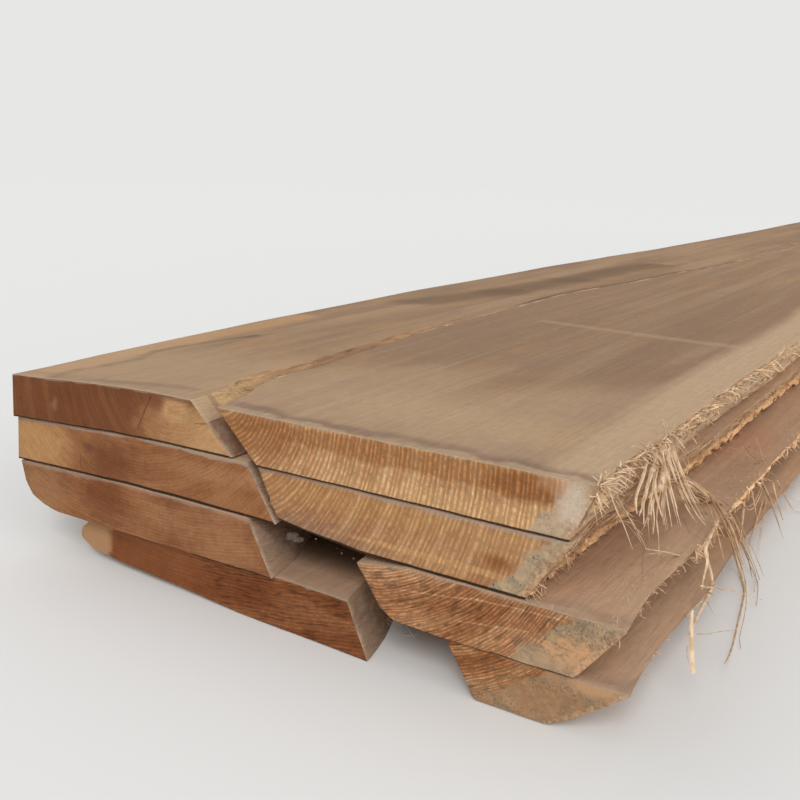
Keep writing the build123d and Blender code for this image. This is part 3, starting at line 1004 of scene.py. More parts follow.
for key in planks:
    if key not in sawn_faces:
        # The bottom left board's face gets painted shade in the gap under the board above.
        sawn_faces[key] = sawn_face(key, *ledge_lightened_for_shade, violet=0.35,
                                    gap_shade=0.75 if key == "left_bottom" else 0.0)
print(len(sawn_faces), "finishes for sawn faces")

# %% [markdown]
# The bark was stripped off, and what is left on the bark edges is bast: rough, fibrous,
# brown to pinkish tan, in long strips, darker in the hollows.

# %% Bark edges
def middle_seam(f, colour, ridge, tones):
    """The edge at the middle seam: torn fibres over a dark split, brighter near the end."""
    seam = f.fade(f.number("right_gap"), 0.060, 0.050)
    torn = f.blend(f.fade(ridge, 0.36, 0.66), *tones)
    torn = f.blend(f.fade(f.number("near_gap"), 0.30, 0.90), torn, (0.33, 0.205, 0.125))
    worn = f.fade(f.cloud((0.03, 0.16, 0.03), 3, shift=2.7), 0.44, 0.60)
    torn = f.over(torn, worn, 0.75, (0.30, 0.175, 0.105))
    colour = f.blend(seam, colour, torn)
    gap, level = f.number("near_gap"), f.number("level")
    chips = f.fade(f.cloud((0.009, 0.012, 0.009), 3, shift=4.6), 0.50, 0.58)
    low = f.times(f.times(f.fade(gap, 0.040, 0.020), seam), f.fade(level, 0.62, 0.58))
    colour = f.over(colour, low, 0.8, (0.19, 0.088, 0.052))
    colour = f.over(colour, f.times(low, chips), 0.6, (0.27, 0.20, 0.15))
    high = f.times(f.fade(level, 0.58, 0.62), seam)
    strip = f.times(high, f.fade(gap, 0.13, 0.05))
    bright = f.blend(f.fade(ridge, 0.36, 0.62), (0.52, 0.32, 0.145), (0.66, 0.43, 0.21))
    colour = f.over(colour, strip, 0.9, bright)
    stub = f.times(high, f.fade(gap, 0.026, 0.018))
    colour = f.over(colour, stub, 0.85, (0.46, 0.315, 0.19))
    line = f.times(f.fade(gap, 0.017, 0.021), f.fade(gap, 0.028, 0.023))
    colour = f.over(colour, f.times(line, high), 0.6, (0.25, 0.135, 0.09))
    rough = f.times(f.cloud((0.006, 0.006, 0.006), 2), 0.06)
    split = f.calc("ABSOLUTE", f.minus(f.plus(level, rough), 0.63))
    split = f.times(f.fade(split, 0.022, 0.008), f.fade(gap, 0.030, 0.024))
    colour = f.over(colour, f.times(split, seam), 0.85, (0.07, 0.038, 0.024))
    return colour, seam


def bark_edge(key, base, dark, light, orange, inner, frayed, depth):
    """The finish of a board's bark edges; inner colours the edge at the middle seam."""
    f = Finish(key + " bark edge")
    broad = f.cloud((0.04, 0.28, 0.03), 4, shift=len(key) * 1.3, warp=0.6)
    ridge = f.cloud((0.0040, 0.045, 0.0040), 4, 0.65, warp=0.7)
    fibre = f.cloud((0.0011, 0.025, 0.0011), 3, 0.6)
    knobs = f.cloud((0.006, 0.010, 0.006), 4, 0.65, shift=3.1)
    colour = f.blend(f.fade(broad, 0.36, 0.64), base, dark)
    colour = f.over(colour, f.fade(ridge, 0.48, 0.68), 0.7, light)
    patch = f.fade(f.cloud((0.02, 0.12, 0.02), 3, shift=9.1), 0.54, 0.68)
    colour = f.over(colour, patch, orange, (0.54, 0.30, 0.14))
    if inner:
        colour, seam = middle_seam(f, colour, ridge, inner)
    # Darker where the ridges and knobs of the bump dip.
    pit = f.fade(ridge, 0.44, 0.30)
    colour = f.over(colour, pit, 0.65, (0.15, 0.085, 0.05))
    hollow = f.times(f.fade(knobs, 0.38, 0.26), 0.5)
    colour = f.blend(hollow, colour, (0.17, 0.10, 0.065))
    if frayed:
        holes = f.fade(f.cloud((0.006, 0.010, 0.006), 3, 0.6, shift=7.7), 0.52, 0.62)
        holes = f.times(holes, f.fade(f.number("level"), *frayed))
        colour = f.over(colour, holes, 0.8, (0.13, 0.08, 0.045))
    near = f.number("near_gap")
    colour = f.over(colour, f.fade(near, 0.24, 0.04), 0.2, light)
    colour = f.over(colour, f.fade(near, 0.25, 0.70), 0.42, light)
    if inner:
        colour = f.over(colour, f.times(f.fade(near, 0.58, 0.70), seam), 0.75, (0.15, 0.09, 0.057))
    ragged = f.plus(near, f.times(f.minus(knobs, 0.5), 0.012))
    colour = f.over(colour, f.fade(ragged, 0.006, 0.001), 0.65, (0.50, 0.36, 0.25))
    colour = f.shaded(colour, f.plus(0.78, f.times(fibre, 0.44)))
    height = f.plus(ridge, f.plus(f.times(fibre, 0.6), knobs))
    return f.finish(colour, 0.88, height, depth)


# %% [markdown]
# The two upper right boards have kept the brightest bast, the two below them are pinker,
# and the left ones have gone grey. Only the top left board shows its inner edge.

# %% The eight pairs of bark edges
tan_bast = ((0.61, 0.41, 0.255), (0.48, 0.30, 0.185), (0.74, 0.53, 0.34))
pink_bast = ((0.52, 0.34, 0.225), (0.42, 0.265, 0.18), (0.60, 0.41, 0.275))
grey_bast = ((0.355, 0.235, 0.160), (0.28, 0.185, 0.130), (0.43, 0.300, 0.205))
fresh_tear = ((0.31, 0.170, 0.085), (0.46, 0.27, 0.14))
bark_edges = {}
for key in planks:
    tones = (grey_bast if key.startswith("left") else
             tan_bast if key in ("right_top", "right_upper") else pink_bast)
    bark_edges[key] = bark_edge(key, *tones, orange=0.45 if tones is tan_bast else 0.15,
                                inner=fresh_tear if key == "left_top" else None,
                                frayed=(0.50, 0.80) if key in ("right_top", "right_lower") else None,
                                depth=0.0014 if key.startswith("left") else 0.0024)
print(len(bark_edges), "finishes for bark edges")

# %% [markdown]
# Each face of a plank takes the finish of what it is, and its normal tells which: an end
# looks along the board, a sawn face up or down, and the rest is bark edge.

# %% Dress the planks
end_lean, sawn_lean = 0.6, 0.95
for key, plank in planks.items():
    plank.data.materials.clear()
    for material in (cut_ends[key], sawn_faces[key], bark_edges[key]):
        plank.data.materials.append(material)
    slots = []
    for face in plank.data.polygons:
        lean = face.normal
        slots.append(0 if abs(lean.y) > end_lean else 1 if abs(lean.z) > sawn_lean else 2)
    plank.data.polygons.foreach_set("material_index", slots)
    plank.data.update()

# %% [markdown]
# Torn bast hangs from the right bark edges in fibres, from stiff curls as long as a
# fingernail to limp strands as long as a hand. Each fibre is one spline with an order of 3,
# which gives a soft line through few points. A small flat profile is swept along it as a
# bevel object, four-sided for the many short ones and rounder for the few large ones. A
# fibre gets thinner towards its tip, and then becomes a mesh.

# %% Fibres
dice = np.random.default_rng(11)
profiles = []
flatness = 0.45
for steps in (1, 2):
    bpy.ops.curve.primitive_bezier_circle_add(radius=0.5 * millimetre)
    profile = bpy.context.object
    profile.data.resolution_u = steps
    profile.scale = (1.0, flatness, 1.0)
    bpy.ops.object.transform_apply(scale=True)
    profiles.append(profile)
coarse, round_one = profiles


def thinning(share):
    """How thick a fibre is along its length: full at the root, a third at the tip."""
    return 1.0 - 0.68 * share ** 1.6


def bundle(name, strands, finish, steps=2, profile=coarse, wild=0.0):
    """Many fibres as one piece. strands are (points, width in mm, thickness along it)."""
    curve = bpy.data.curves.new(name, "CURVE")
    curve.dimensions = "3D"
    curve.resolution_u = steps
    curve.bevel_mode = "OBJECT"
    curve.bevel_object = profile
    curve.use_fill_caps = True
    for points, width, shape in strands:
        spline = curve.splines.new("NURBS")
        spline.points.add(len(points) - 1)
        twist = dice.uniform(-1.5, 1.5)
        for index, (knot, point) in enumerate(zip(spline.points, points)):
            share = index / (len(points) - 1)
            knot.co = (*point, 1)
            knot.radius = width * shape(share)
            knot.tilt = twist * share + wild * dice.normal()
        spline.order_u = 3
        spline.use_endpoint_u = True
    piece = bpy.data.objects.new(name, curve)
    bpy.context.scene.collection.objects.link(piece)
    only(piece)
    bpy.ops.object.convert(target="MESH")
    bpy.ops.object.mode_set(mode="EDIT")
    bpy.ops.mesh.select_all(action="SELECT")
    bpy.ops.mesh.normals_make_consistent(inside=False)
    bpy.ops.object.mode_set(mode="OBJECT")
    bpy.ops.object.shade_smooth_by_angle(angle=radians(80))
    piece.data.materials.clear()
    piece.data.materials.append(finish)
    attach(piece, "root")
    print(name, len(strands), "fibres", len(piece.data.polygons), "faces")


def fibre_finish(name, pale, tan, dark, weave=(0.0006, 0.0006, 0.006), depth=0.0002):
    f = Finish(name)
    tone = f.cloud((0.006, 0.006, 0.012), 2)
    colour = f.blend(f.fade(tone, 0.36, 0.62), pale, tan)
    colour = f.blend(f.fade(f.cloud((0.010, 0.010, 0.010), 2, shift=5.0), 0.58, 0.74), colour, dark)
    stripe = f.cloud(weave, 2)
    colour = f.shaded(colour, f.plus(0.80, f.times(stripe, 0.40)))
    return f.finish(colour, 0.75, stripe, depth)


straw = fibre_finish("straw fibre", (0.72, 0.55, 0.38), (0.56, 0.37, 0.22), (0.33, 0.19, 0.11))
bast_tan = fibre_finish("bast fibre", (0.60, 0.41, 0.25), (0.46, 0.28, 0.16), (0.26, 0.15, 0.085))

# %% [markdown]
# The short curls stand out of the bark edge. A ray sent in from the side finds the bark
# edge of the plank at each place, so every curl has its root in the wood. They stand close
# together near the camera and thin out along the stack.

# %% Fringes of short curls
ray_start = 0.6
least_lean = 0.12
floor_gap = 1.5 * millimetre
farthest_out = cad_box[1][0] + 0.018
highest = cad_box[1][2] + 0.008
root_depth = 0.002
curl_droop = 0.6
longer_away, thicker_away = 0.25, 0.35
bare_stretch, bare_below = 14, -0.25


def edge_of(key, y, z):
    """Where the right side of a plank is at y and height z, and which way it faces."""
    found, spot, normal, _ = planks[key].ray_cast(Vector((ray_start, y, z)), Vector((-1, 0, 0)))
    return (spot, normal) if found and normal.x > least_lean else (None, None)


def curly(root, heading, length, curl, droop, steps=4):
    """Points of a fibre that leaves its root, curls about a chance axis and droops."""
    heading = heading.normalized()
    axis = Vector(dice.normal(size=3)).normalized()
    points = [root - heading * root_depth, root]
    for _ in range(steps):
        points.append(points[-1] + heading * (length / steps))
        heading = heading + axis.cross(heading) * (curl / steps)
        heading.z -= droop / steps
        heading.normalize()
    for point in points:
        point.x = min(point.x, farthest_out)
        point.z = min(max(point.z, floor_gap), highest)
    return points


def fringe(key, heights, count, lengths, widths, curl=2.6, crowd=1.9, up=0.35, first=0.012):
    """Short curls along one bark edge, between two heights in mm, from first in metres on."""
    strands = []
    while len(strands) < count:
        y = near_end + first + (far_end - near_end - 0.04 - first) * dice.random() ** crowd
        if noise.noise(Vector((y * bare_stretch, count, 0))) < bare_below:
            continue
        spot, _ = edge_of(key, y, dice.uniform(*heights) * millimetre)
        if spot is None:
            continue
        away = y - near_end
        heading = Vector((0.7 + 0.5 * dice.random(), dice.normal(0, 0.9), dice.normal(up, 0.5)))
        length = dice.uniform(*lengths) * millimetre * (1 + longer_away * away)
        width = dice.uniform(*widths) * (1 + thicker_away * away)
        points = curly(spot, heading, length, dice.normal(0, curl), curl_droop * dice.random())
        strands.append((points, width, thinning))
    return strands


# %% [markdown]
# A fringe is given by the heights between which it grows, how many curls it has, and the
# ranges of their lengths and widths, all in millimetres.

# %% The fringes of the four right boards
strands = fringe("right_top", (150, 154), 460, (5, 15), (0.9, 2.2), curl=1.3, crowd=1.6)
strands += fringe("right_top", (144, 154), 260, (5, 16), (0.5, 1.2))
strands += fringe("right_top", (118, 146), 160, (4, 12), (0.5, 1.2), up=-0.3)
bundle("top_board_curls", strands, straw)
strands = fringe("right_upper", (74, 80), 460, (3, 8), (0.5, 1.5), curl=2.2, crowd=1.6, up=-0.5,
                 first=0.05)
strands += fringe("right_upper", (74, 86), 260, (4, 12), (0.5, 1.2), up=-0.5)
strands += fringe("right_upper", (86, 115), 160, (5, 14), (0.5, 1.2), up=-0.1)
bundle("upper_board_curls", strands, bast_tan)
strands = fringe("right_lower", (67, 73), 420, (3, 9), (0.4, 1.4), curl=2.2, crowd=1.4, up=0.1,
                 first=0.04)
strands += fringe("right_lower", (36, 66), 240, (3, 8), (0.4, 0.9), crowd=1.4, up=-0.3)
bundle("lower_board_curls", strands, straw)
strands = fringe("right_bottom", (26, 34), 240, (3, 9), (0.5, 1.4), crowd=1.5, up=0.0)
strands += fringe("right_bottom", (8, 26), 160, (3, 8), (0.5, 1.1), crowd=1.5, up=0.0)
bundle("bottom_board_curls", strands, straw)

# %% [markdown]
# Between the curls the bast is torn into strips that lie along the edge and lift at their
# ends, and at the lower corner of the second board it has rolled up into a knobbly rope.

# %% Strips and rolls of bast
strip_crowd = 1.7
strip_knots = 6
rope_step = 4 * millimetre


def blade(share):
    """Pointed at both ends."""
    return 0.25 + 0.85 * sin(pi * share)


def strips(key, heights, count, lengths, widths, lift):
    """Torn strips of bast along a bark edge, between two heights in mm."""
    strands = []
    while len(strands) < count:
        y = near_end + 0.004 + (far_end - near_end - 0.15) * dice.random() ** strip_crowd
        length = dice.uniform(*lengths) * millimetre * (1 + 0.5 * (y - near_end))
        z = dice.uniform(*heights) * millimetre
        slope = dice.normal(0, 0.07)
        points = []
        for share in np.linspace(0, 1, strip_knots):
            height = z + slope * length * share + dice.normal(0, 0.0005)
            spot, normal = edge_of(key, y + length * share, height)
            if spot is not None:
                raised = lift * millimetre * dice.random() * (2 * share - 1) ** 2
                points.append(spot + normal * raised)
        if len(points) == strip_knots:
            strands.append((points, dice.uniform(*widths), blade))
    return strands


def rope(key, heights, width, start, stop):
    """A rope of rolled-up bast along a bark edge, from one y to another."""
    points, y = [], start
    while y < stop:
        spot, normal = edge_of(key, y, dice.uniform(*heights) * millimetre)
        if spot is not None:
            points.append(spot + normal * dice.normal(0.0003, 0.0008))
        y += rope_step * dice.uniform(0.6, 1.4) * (1 + 2.2 * (y - near_end))
    shift = dice.uniform(0, 50)
    return points, width, lambda share: max(0.25, 0.75 + 0.8 * noise.noise(
        Vector((share * len(points) * 0.45, shift, 0))))


# %% The strips and ropes of the four right boards
bundle("top_board_strips", strips("right_top", (118, 152), 260, (14, 60), (1.2, 3.4), 2.4),
       straw, wild=0.3)
bundle("upper_board_strips", strips("right_upper", (76, 114), 260, (14, 60), (1.2, 3.4), 2.4),
       bast_tan, wild=0.3)
bundle("lower_board_strips", strips("right_lower", (40, 72), 220, (12, 50), (1.0, 2.6), 1.8),
       bast_tan, wild=0.3)
bundle("bottom_board_strips", strips("right_bottom", (6, 33), 140, (12, 50), (1.0, 2.4), 1.2),
       bast_tan, wild=0.3)
torn_orange = fibre_finish("orange bast", (0.86, 0.56, 0.31), (0.74, 0.43, 0.21),
                           (0.44, 0.23, 0.11), weave=(0.006, 0.0016, 0.006), depth=0.0012)
ropes = [rope("right_upper", (75, 79), 8.0, near_end + 0.012, far_end - 0.03),
         rope("right_upper", (76, 83), 6.5, near_end + 0.05, far_end - 0.10),
         rope("right_upper", (78, 88), 5.5, near_end + 0.09, far_end - 0.20),
         rope("right_upper", (74, 86), 13.0, near_end + 0.34, far_end - 0.16)]
bundle("upper_board_roll", ropes, torn_orange, profile=round_one, wild=0.5)
ropes = [rope("right_lower", (68, 72), 6.0, near_end + 0.26, far_end - 0.05),
         rope("right_lower", (66, 71), 4.5, near_end + 0.32, far_end - 0.20),
         rope("right_lower", (64, 72), 9.0, near_end + 0.50, far_end - 0.24),
         rope("right_top", (149, 153), 3.0, near_end + 0.14, far_end - 0.06)]
bundle("edge_roll", ropes, torn_orange, profile=round_one, wild=0.5)

# %% [markdown]
# Where a board sticks out past the one above it, tiny hairs stand on its open ledge. A ray
# from above finds the wood, and only hairs that land on that ledge are kept.

# %% Fuzz on the open ledge
ledge_width = 0.055
look_down_from = 0.4
ledge_slack = 0.004


def ledge_fuzz(key, level, reach, count, lengths):
    """Tiny hairs on the open ledge of a board's top, over so many metres from the near end."""
    strands = []
    while len(strands) < count:
        y = near_end + 0.004 + reach * dice.random() ** 1.4
        side, _ = edge_of(key, y, level * millimetre - ledge_slack)
        if side is None:
            continue
        above = Vector((side.x - ledge_width * dice.random() ** 1.3, y, look_down_from))
        hits = [plank.ray_cast(above, Vector((0, 0, -1)))[:2] for plank in planks.values()]
        spot = max((place for found, place in hits if found), key=lambda place: place.z)
        if abs(spot.z - level * millimetre) > ledge_slack:
            continue
        heading = Vector((dice.normal(0.3, 0.6), dice.normal(-0.3, 0.8), 0.5))
        points = curly(spot, heading, dice.uniform(*lengths) * millimetre,
                       dice.normal(0, 1.5), 0.5, 3)
        strands.append((points, dice.uniform(0.25, 0.5), thinning))
    return strands


bundle("ledge_fuzz", ledge_fuzz("right_lower", ledge_height, 0.9, 420, (1.5, 5)), straw, 1)

# %% [markdown]
# The long strands are the most striking part of the picture, so each one is laid by its
# places in the picture, on upright planes just outside the bark edges. A tuft hangs from
# the top board, a long bundle from the board below it, and pale stiff strands hang from
# the bundle's knot. None may sink below the floor.

# %% Laying a strand by the picture
thickest_stray = 1.8


def drawn(pixels, start, stop, width, shape=thinning):
    """A strand through places in the picture, on planes from start to stop mm across."""
    points = []
    for index, (across, down) in enumerate(pixels):
        share = index / (len(pixels) - 1)
        point = seen_at(across, down, 0, (start + (stop - start) * share) * millimetre)
        point.z = max(point.z, floor_gap)
        points.append(point)
    return points, width, shape


def strayed(strand):
    """A thinner strand beside another one, drawn away from it by chance."""
    points, width, shape = strand
    aside = Vector((dice.uniform(0, 0.004), dice.normal(0, 0.006), dice.normal(0, 0.004)))
    moved = [point + aside * (0.3 + share) for point, share
             in zip(points, np.linspace(0, 1, len(points)))]
    for point in moved:
        point.z = max(point.z, floor_gap)
    return moved, min(width, thickest_stray) * dice.uniform(0.5, 0.8), shape


def even(share):
    return 1.0 - 0.25 * share


def swelling(share):
    return 0.6 + 0.6 * share


# %% The tuft
tuft = [
    drawn(((661, 442), (655, 466), (646, 491), (643, 504), (644, 525)), 262, 275, 2.0),
    drawn(((663, 443), (662, 470), (654, 497), (649, 514), (644, 527)), 262, 276, 1.7),
    drawn(((665, 444), (660, 473), (652, 504), (655, 520), (653, 534)), 262, 276, 1.5),
    drawn(((667, 443), (666, 474), (660, 506), (664, 525)), 262, 276, 1.7),
    drawn(((668, 445), (664, 482), (668, 504), (672, 527)), 262, 277, 2.0),
    drawn(((659, 442), (652, 464), (647, 484), (641, 506)), 262, 273, 1.4),
    drawn(((666, 441), (670, 466), (680, 491), (688, 512), (697, 523)), 262, 280, 2.2),
    drawn(((672, 440), (676, 461), (685, 484), (694, 504), (703, 520)), 262, 281, 2.0),
    drawn(((669, 441), (671, 456), (678, 473), (683, 491), (691, 505)), 262, 279, 1.5),
    drawn(((660, 446), (661, 456), (665, 476), (659, 490)), 264, 272, 4.6, even),
    drawn(((657, 447), (664, 462), (668, 476)), 264, 270, 3.6, even),
    drawn(((642, 455), (650, 459), (660, 466), (666, 474)), 264, 270, 1.8),
    drawn(((640, 452), (647, 449), (656, 453), (662, 462)), 264, 270, 2.2),
    drawn(((653, 446), (658, 460), (655, 484), (649, 498)), 263, 272, 2.4),
    drawn(((674, 443), (684, 452), (690, 464), (687, 474)), 264, 276, 1.6),
    drawn(((608, 470), (613, 487), (622, 507), (632, 521), (641, 542)), 262, 272, 1.4),
    drawn(((616, 500), (622, 510), (634, 517)), 264, 270, 1.0),
    drawn(((620, 521), (629, 521), (636, 528), (643, 535)), 266, 272, 0.9),
    drawn(((662, 420), (670, 446), (668, 470)), 264, 270, 1.4),
]
tuft += [strayed(strand) for strand in tuft for _ in range(2)]
tuft += [
    drawn(((646, 462), (643, 478), (637, 492), (635, 503), (637, 514)), 264, 272, 2.8),
    drawn(((655, 454), (653, 470), (647, 487), (645, 500), (639, 516)), 264, 273, 3.0),
    drawn(((654, 476), (652, 492), (649, 508), (650, 520)), 266, 274, 2.6),
    drawn(((654, 478), (655, 492), (659, 506), (662, 517)), 267, 276, 2.9),
    drawn(((655, 448), (665, 469), (672, 492), (677, 509)), 265, 278, 2.4),
    drawn(((662, 449), (670, 469), (682, 492), (690, 509)), 265, 280, 2.3),
    drawn(((648, 455), (640, 447), (632, 446)), 266, 268, 2.4),
    drawn(((651, 452), (644, 444), (637, 441)), 266, 268, 2.2),
]
bundle("hanging_tuft", tuft, straw, 5, round_one)

# %% The long bundle
long_strands = [
    drawn(((676, 484), (690, 489), (706, 495), (724, 504), (733, 517), (741, 535), (751, 554),
           (760, 580)), 258, 306, 2.8),
    drawn(((680, 487), (700, 494), (727, 507), (737, 530), (745, 548), (753, 566), (757, 578),
           (754, 592)), 258, 306, 2.2),
    drawn(((682, 489), (704, 497), (730, 512), (741, 540), (749, 560), (752, 577)), 258, 304, 2.2),
    drawn(((684, 488), (706, 499), (724, 512), (731, 538), (737, 562), (740, 576)), 258, 303, 1.8),
    drawn(((676, 492), (692, 500), (702, 505), (712, 499)), 260, 282, 1.4),
    drawn(((678, 490), (694, 496), (711, 505), (718, 517), (712, 526)), 260, 290, 1.6),
    drawn(((735, 505), (748, 512), (757, 505), (763, 488)), 284, 290, 1.2),
    drawn(((763, 500), (758, 517), (751, 538), (748, 548)), 282, 298, 1.5),
    drawn(((766, 500), (761, 526), (756, 559)), 282, 299, 1.4),
    drawn(((744, 446), (754, 458), (768, 471), (776, 476)), 272, 284, 1.3),
    drawn(((756, 438), (762, 456), (769, 474)), 272, 284, 1.1),
    drawn(((728, 447), (745, 452), (757, 462)), 270, 280, 1.0),
]
long_strands += [strayed(strand) for strand in long_strands]
long_strands += [
    drawn(((668, 479), (680, 474), (693, 482), (706, 492), (714, 500)), 264, 288, 3.4, even),
    drawn(((670, 484), (684, 481), (697, 489), (712, 499)), 264, 288, 2.8, even),
    drawn(((671, 481), (682, 478), (695, 484), (708, 496)), 263, 287, 2.2, even),
    drawn(((708, 492), (718, 505), (727, 519), (736, 538), (743, 565)), 286, 306, 3.4),
    drawn(((710, 496), (718, 512), (728, 530), (738, 552), (742, 570)), 288, 307, 3.0),
    drawn(((712, 498), (722, 516), (731, 540), (736, 560), (741, 572)), 287, 306, 2.8),
    drawn(((706, 500), (714, 520), (719, 540), (724, 560)), 288, 304, 1.8),
    drawn(((744, 499), (743, 525), (739, 545)), 284, 296, 2.2),
    drawn(((752, 492), (755, 506), (757, 518)), 284, 292, 1.8),
    drawn(((773, 482), (776, 500), (783, 520)), 284, 294, 2.0),
]
bundle("long_bundle", long_strands, bast_tan, 6, round_one)

# %% The pale stiff strands
pale_strands = [
    drawn(((686, 490), (706, 500), (719, 512), (727, 530), (735, 556), (740, 572), (742, 595),
           (744, 611), (741, 627), (736, 640), (732, 655), (725, 664)), 258, 316, 3.0),
    drawn(((722, 520), (733, 546), (744, 571), (747, 595), (745, 616), (738, 640), (741, 654)),
          294, 316, 1.3),
    drawn(((718, 520), (710, 533), (703, 545), (698, 557), (690, 558), (681, 556), (663, 551),
           (646, 549)), 292, 276, 1.9),
    drawn(((716, 526), (706, 540), (699, 552), (692, 549)), 292, 284, 1.4),
    drawn(((646, 554), (659, 553), (668, 551), (678, 555)), 274, 280, 1.1),
    drawn(((717, 521), (711, 535), (704, 549), (709, 566), (712, 578), (713, 588)), 292, 300, 2.8,
          even),
    drawn(((707, 553), (708, 563), (703, 579), (702, 589)), 296, 300, 2.4, even),
    drawn(((702, 586), (708, 589), (714, 586)), 300, 300, 3.0, even),
    drawn(((711, 584), (722, 586), (731, 590), (748, 595), (763, 600)), 300, 312, 1.2),
    drawn(((712, 586), (724, 591), (733, 592)), 300, 306, 0.9),
    drawn(((711, 588), (707, 598), (700, 610), (695, 622), (689, 634)), 300, 306, 3.0),
    drawn(((702, 601), (693, 607), (688, 615)), 303, 305, 1.4),
    drawn(((692, 610), (691, 627), (692, 640), (692, 655), (693, 673)), 304, 310, 3.2, swelling),
    drawn(((707, 601), (711, 610), (716, 617)), 303, 307, 1.2),
    drawn(((687, 634), (699, 634), (711, 634), (722, 631), (736, 630)), 305, 314, 1.3),
    drawn(((688, 646), (686, 655), (689, 662)), 306, 309, 1.2),
    drawn(((780, 488), (789, 504), (795, 523), (802, 546)), 282, 300, 1.5),
    drawn(((777, 480), (781, 487), (790, 500), (802, 510)), 282, 294, 1.2),
    drawn(((760, 478), (770, 498), (778, 522), (783, 538)), 284, 300, 3.2),
]
bundle("pale_strands", pale_strands, straw, 6, round_one)

# %% [markdown]
# Further along the stack the picture is out of focus, but tufts like these can still be
# made out. They are copied in kind, not in place: a few fibres each, which droop more.

# %% Tufts along the stack
tuft_count = 15
far_tufts = []
tuft_places = np.linspace(near_end + 0.75, far_end - 0.15, tuft_count)
for y in tuft_places + dice.uniform(-0.08, 0.08, tuft_count):
    key, z = (("right_top", 0.150), ("right_upper", 0.080))[int(dice.integers(2))]
    for _ in range(int(dice.integers(6, 13))):
        spot, _ = edge_of(key, y + dice.normal(0, 0.012), z)
        if spot is None:
            continue
        heading = Vector((1.0, dice.normal(0, 0.5), dice.normal(0.0, 0.3)))
        length = dice.uniform(22, 62) * millimetre
        line = curly(spot, heading, length, dice.normal(0, 0.7), 3.2, 6)
        far_tufts.append((line, dice.uniform(1.0, 2.2), thinning))
bundle("far_tufts", far_tufts, straw, 3)

# %% [markdown]
# Close to the camera the arrises are furry. Broad stiff curls stand thickly along the top
# arris, and shorter orange ones hang from the rolls of bast like the teeth of a comb.

# %% Thick fur near the camera
pale_fur = fibre_finish("pale fur", (0.84, 0.64, 0.42), (0.70, 0.47, 0.27), (0.36, 0.21, 0.12))
near_fur = fringe("right_top", (140, 154), 560, (5, 13), (0.9, 2.2), curl=1.8, crowd=2.8, up=0.15)
near_fur += fringe("right_lower", (67, 73), 420, (4, 11), (0.5, 1.5), curl=2.2, crowd=2.0, up=-0.5,
                   first=0.16)
bundle("pale_fur", near_fur, pale_fur)
near_fur = fringe("right_upper", (74, 84), 420, (3, 8), (0.3, 1.0), curl=2.4, crowd=2.2, up=-0.3,
                  first=0.06)
near_fur += fringe("right_lower", (66, 73), 160, (3, 8), (0.6, 1.6), curl=2.0, crowd=2.2, up=-0.6,
                   first=0.16)
bundle("orange_fur", near_fur, torn_orange)

# %% [markdown]
# Small things complete the near end: clots of dust in the gap under the second right
# board, crumbs along the open seams, and a few threads of cobweb between the columns.

# %% Dust
def plain(name, tone):
    f = Finish(name)
    tint = f.plus(0.7, f.times(f.cloud((0.002,) * 3), 0.6))
    return f.finish(f.shaded(tone, tint), 0.9)


def lump(name, spot, normal, size, finish, bumps):
    """A flat rough lump lying on a surface. size is two radii and a thickness, in mm."""
    bpy.ops.mesh.primitive_uv_sphere_add(segments=48, ring_count=28, radius=1,
                                         rotation=normal.to_track_quat("Z", "Y").to_euler())
    piece = bpy.context.object
    piece.name = name
    piece.scale = [s * millimetre for s in size]
    bpy.ops.object.transform_apply(rotation=True, scale=True)
    for vertex in piece.data.vertices:
        rough = bumps * noise.noise(vertex.co * 180) + 0.9 * noise.noise(vertex.co * 700)
        vertex.co *= max(0.3, 1 + rough)
    bpy.ops.transform.translate(value=spot)
    bpy.ops.object.transform_apply(location=True)
    bpy.ops.object.shade_smooth_by_angle(angle=radians(25))
    piece.data.materials.append(finish)
    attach(piece, "root")


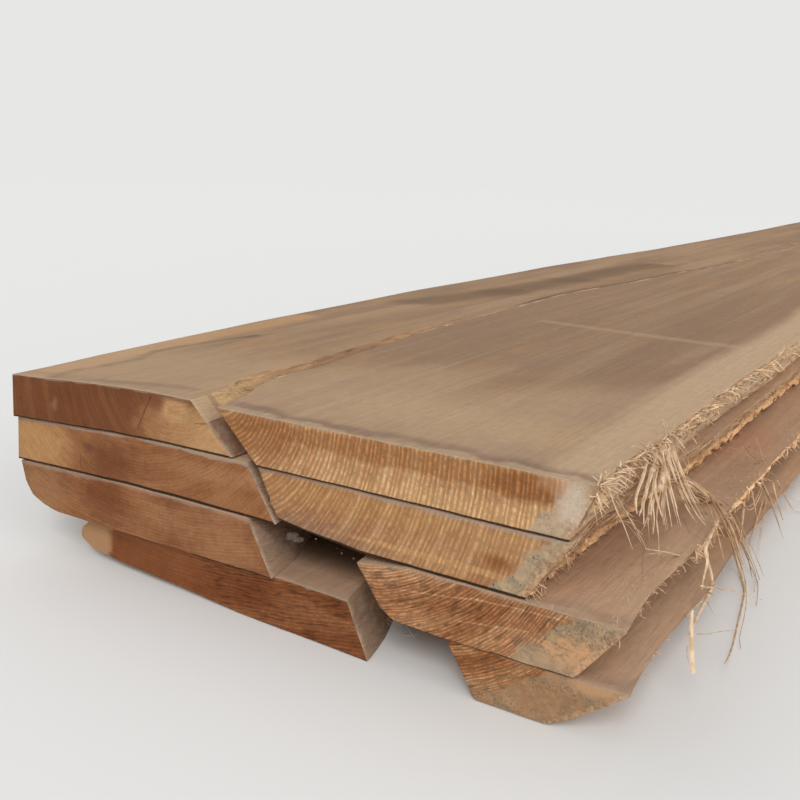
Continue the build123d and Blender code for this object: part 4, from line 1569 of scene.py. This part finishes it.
dust_grey = plain("grey dust", (0.095, 0.072, 0.052))
dust_setback = 0.014
dust_facing = Vector((0.3, -0.9, 0.2))
dust_places = ((288, 536, 4.2, 2.2), (293, 539, 3.4, 1.5), (300, 539, 1.8, 1.0))
for number, (across, down, wide, high) in enumerate(dust_places):
    lump(f"dust_{number}", seen_at(across, down, 1, near_end + dust_setback), dust_facing,
         (wide, high, 1.2), dust_grey, 2.2)
print(len(dust_places), "clots of dust")

# %% Crumbs
wood_crumb = plain("wood crumb", (0.13, 0.088, 0.058))
crumb_count = 42
crumbs = []
crumb_lines = [((300, 532), (354, 557)), ((258, 452), (262, 470)), ((340, 462), (420, 492)),
               ((352, 557), (400, 575)), ((375, 602), (392, 624)), ((135, 566), (168, 579)),
               ((215, 601), (290, 629))]
for number in range(crumb_count):
    (x0, y0), (x1, y1) = crumb_lines[number % len(crumb_lines)]
    share = dice.random()
    spot = seen_at(x0 + (x1 - x0) * share, y0 + (y1 - y0) * share + dice.normal(0, 1.2), 1,
                   near_end + 0.009 + 0.004 * dice.random())
    bpy.ops.mesh.primitive_ico_sphere_add(subdivisions=1, location=spot,
                                          radius=(0.2 + 0.6 * dice.random() ** 2) * millimetre,
                                          rotation=dice.uniform(0, 6, 3))
    crumbs.append(bpy.context.object)
    crumbs[-1].scale = dice.uniform(0.5, 1.5, 3)
for crumb in crumbs:
    crumb.select_set(True)
bpy.ops.object.join()
crumb = bpy.context.object
crumb.name = "crumbs"
bpy.ops.object.transform_apply(location=True, rotation=True, scale=True)
crumb.data.materials.append(wood_crumb)
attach(crumb, "root")
print("crumbs", len(crumb.data.polygons), "faces")

# %% Cobweb
web = []
for _ in range(14):
    a = seen_at(dice.uniform(384, 398), dice.uniform(598, 636), 1, near_end + 0.012)
    b = seen_at(dice.uniform(400, 420), dice.uniform(620, 640), 1, near_end + 0.016)
    middle = (a + b) / 2 - Vector((0, 0, dice.uniform(0.001, 0.006)))
    web.append(([a, middle, b], dice.uniform(0.12, 0.28), even))
bundle("cobweb", web, plain("cobweb", (0.45, 0.40, 0.33)), 4)
for profile in profiles:
    bpy.data.objects.remove(profile)
